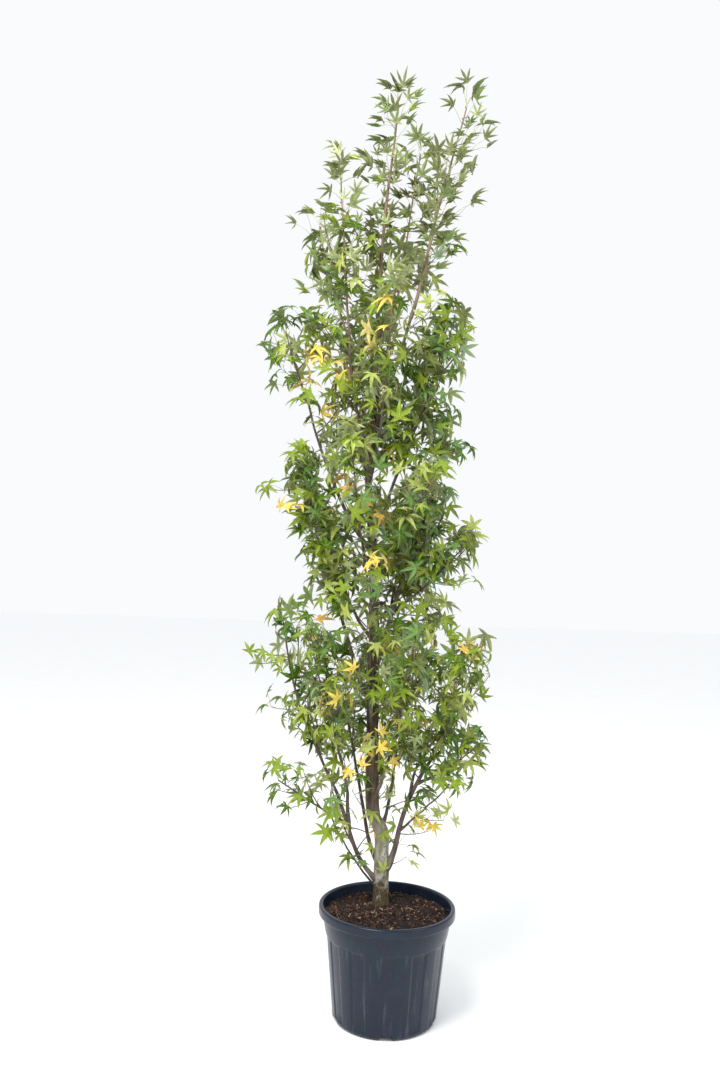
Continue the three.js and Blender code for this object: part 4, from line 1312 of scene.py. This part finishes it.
def make_chips():
    """Bark chips strewn over the soil: uneven boxes, larger at its front left and dark in damp patches."""
    draw = np.random.default_rng(11)
    count = CHIPS["count"]
    far = SOIL["radius"] * MM * np.sqrt(draw.random(count)) * CHIPS["within"]
    turn = draw.random(count) * 2 * np.pi
    x, y = far * np.cos(turn), far * np.sin(turn)
    keep = from_trunk(x, y) > CHIPS["clear"] * MM
    x, y = x[keep], y[keep]
    count = len(x)
    size = np.stack([draw.uniform(*sizes, count) for sizes in CHIPS["sizes"]], axis=1)
    coarse_x, coarse_y, reach = CHIPS["coarse_at"]
    coarse = np.exp(-((x - coarse_x) ** 2 + (y - coarse_y) ** 2) / reach ** 2)
    least, more = CHIPS["growth"]
    size *= (least + draw.random(count)[:, None] ** 3 + more * coarse[:, None])
    corner = np.array([(a, b, c) for a in (-1, 1) for b in (-1, 1) for c in (-1, 1)], dtype=float)
    box = corner[None] * draw.uniform(*CHIPS["corner"], (count, 8, 3)) * size[:, None] * MM
    spin = draw.uniform(0, 2 * np.pi, count)
    pitch, roll = (draw.normal(0, tilt, count) for tilt in CHIPS["tilts"])
    box = np.einsum("nij,npj->npi", turns(spin, 2) @ turns(pitch, 1) @ turns(roll, 0), box)
    z = soil_height(x, y) + draw.uniform(0.0, CHIPS["lift"], count) * MM
    points = box + np.stack((x, y, z), axis=1)[:, None]
    sides = np.array([(0, 1, 3, 2), (4, 6, 7, 5), (0, 4, 5, 1), (2, 3, 7, 6), (0, 2, 6, 4), (1, 5, 7, 3)])
    tints, shares = zip(*CHIP_TINTS)
    tint = draw.choice(len(tints), count, p=shares)
    damp = noise(np.stack((x, y, 0 * x), axis=1) * CHIPS["patches"], 8) > 0.05
    tint[damp & (draw.random(count) < CHIPS["damp"])] = 0
    materials = [chip_material(f"chip_{k}", colour) for k, colour in enumerate(tints)]
    faces = repeated(sides, count, len(corner))
    chips = mesh_object("bark_chips", points, faces, materials, np.repeat(tint, len(sides)), smooth=False)
    dress(chips, "soil", "soil")


# ---- The scene

def add_camera():
    """The camera that was fitted to the photograph's staff and rim."""
    pitch, roll = CAMERA["pitch"], CAMERA["roll"]
    forward = Vector((0, math.cos(pitch), math.sin(pitch)))
    right = Vector((1, 0, 0))
    up = right.cross(forward)
    across = right * math.cos(roll) + up * math.sin(roll)
    above = up * math.cos(roll) - right * math.sin(roll)
    data = bpy.data.cameras.new("camera")
    data.sensor_width = 36
    data.lens = CAMERA["lens"]
    camera = bpy.data.objects.new("camera", data)
    turned = Matrix((across, above, -forward)).transposed().to_4x4()
    camera.matrix_world = Matrix.Translation(CAMERA["place"]) @ turned
    bpy.context.scene.collection.objects.link(camera)
    bpy.context.scene.camera = camera


def add_lamp(name, place, target, size, power, colour):
    """A round soft lamp that faces its target."""
    data = bpy.data.lights.new(name, "AREA")
    data.shape = "DISK"
    data.size = size
    data.energy = power
    data.color = colour
    lamp = bpy.data.objects.new(name, data)
    lamp.location = place
    lamp.rotation_euler = (Vector(target) - Vector(place)).to_track_quat("-Z", "Y").to_euler()
    bpy.context.scene.collection.objects.link(lamp)


def add_stage():
    """A plain pale floor under soft light from all round, and two lamps."""
    world = bpy.data.worlds.new("studio")
    world.use_nodes = True
    background = world.node_tree.nodes["Background"]
    background.inputs["Color"].default_value = (*SKY["colour"], 1)
    background.inputs["Strength"].default_value = SKY["strength"]
    bpy.context.scene.world = world
    made = Nodes("floor")
    made.colour(made.ramp(made.noise(3, 3), [(0.3, (0.955, 0.96, 0.965)), (0.7, (0.975, 0.98, 0.985))]))
    made.set(Roughness=0.85)
    corners = [(x * FLOOR_REACH, y * FLOOR_REACH, 0) for x, y in ((-1, -1), (1, -1), (1, 1), (-1, 1))]
    floor = mesh_object("floor", corners, [(0, 1, 2, 3)], [made.material], smooth=False)
    for name, lamp in LAMPS.items():
        add_lamp(name, *lamp)
    bpy.context.scene.view_settings.view_transform = "Standard"


def main():
    add_camera()
    add_stage()
    limbs = {"trunk": Trunk()}
    for row in BOUGHS:
        limbs[row[0]] = Bough(row, limbs)
    bark, thin_bark = bark_material(), bough_material()
    wood = [dress(limb_mesh(limbs["trunk"], TRUNK_SKIN, bark), "trunk_bark", "trunk")]
    for name, limb in limbs.items():
        if name != "trunk":
            wood.append(dress(limb_mesh(limb, BOUGH_SKIN, thin_bark), "bough_bark", f"bough_{name}"))
    crown = Crown(limbs, search_tree(wood))
    for seed, limb in enumerate(limbs.values(), 100):
        crown.grow(limb, seed)
    crown.grow_spurs(limbs["trunk"])
    crown.grow_shoots()
    crown.make([name for name in frame["nodes"] if name.startswith("leaves_")])
    make_fruits(limbs)
    make_links(limbs, thin_bark)
    make_pot()
    make_soil()
    make_chips()


main()
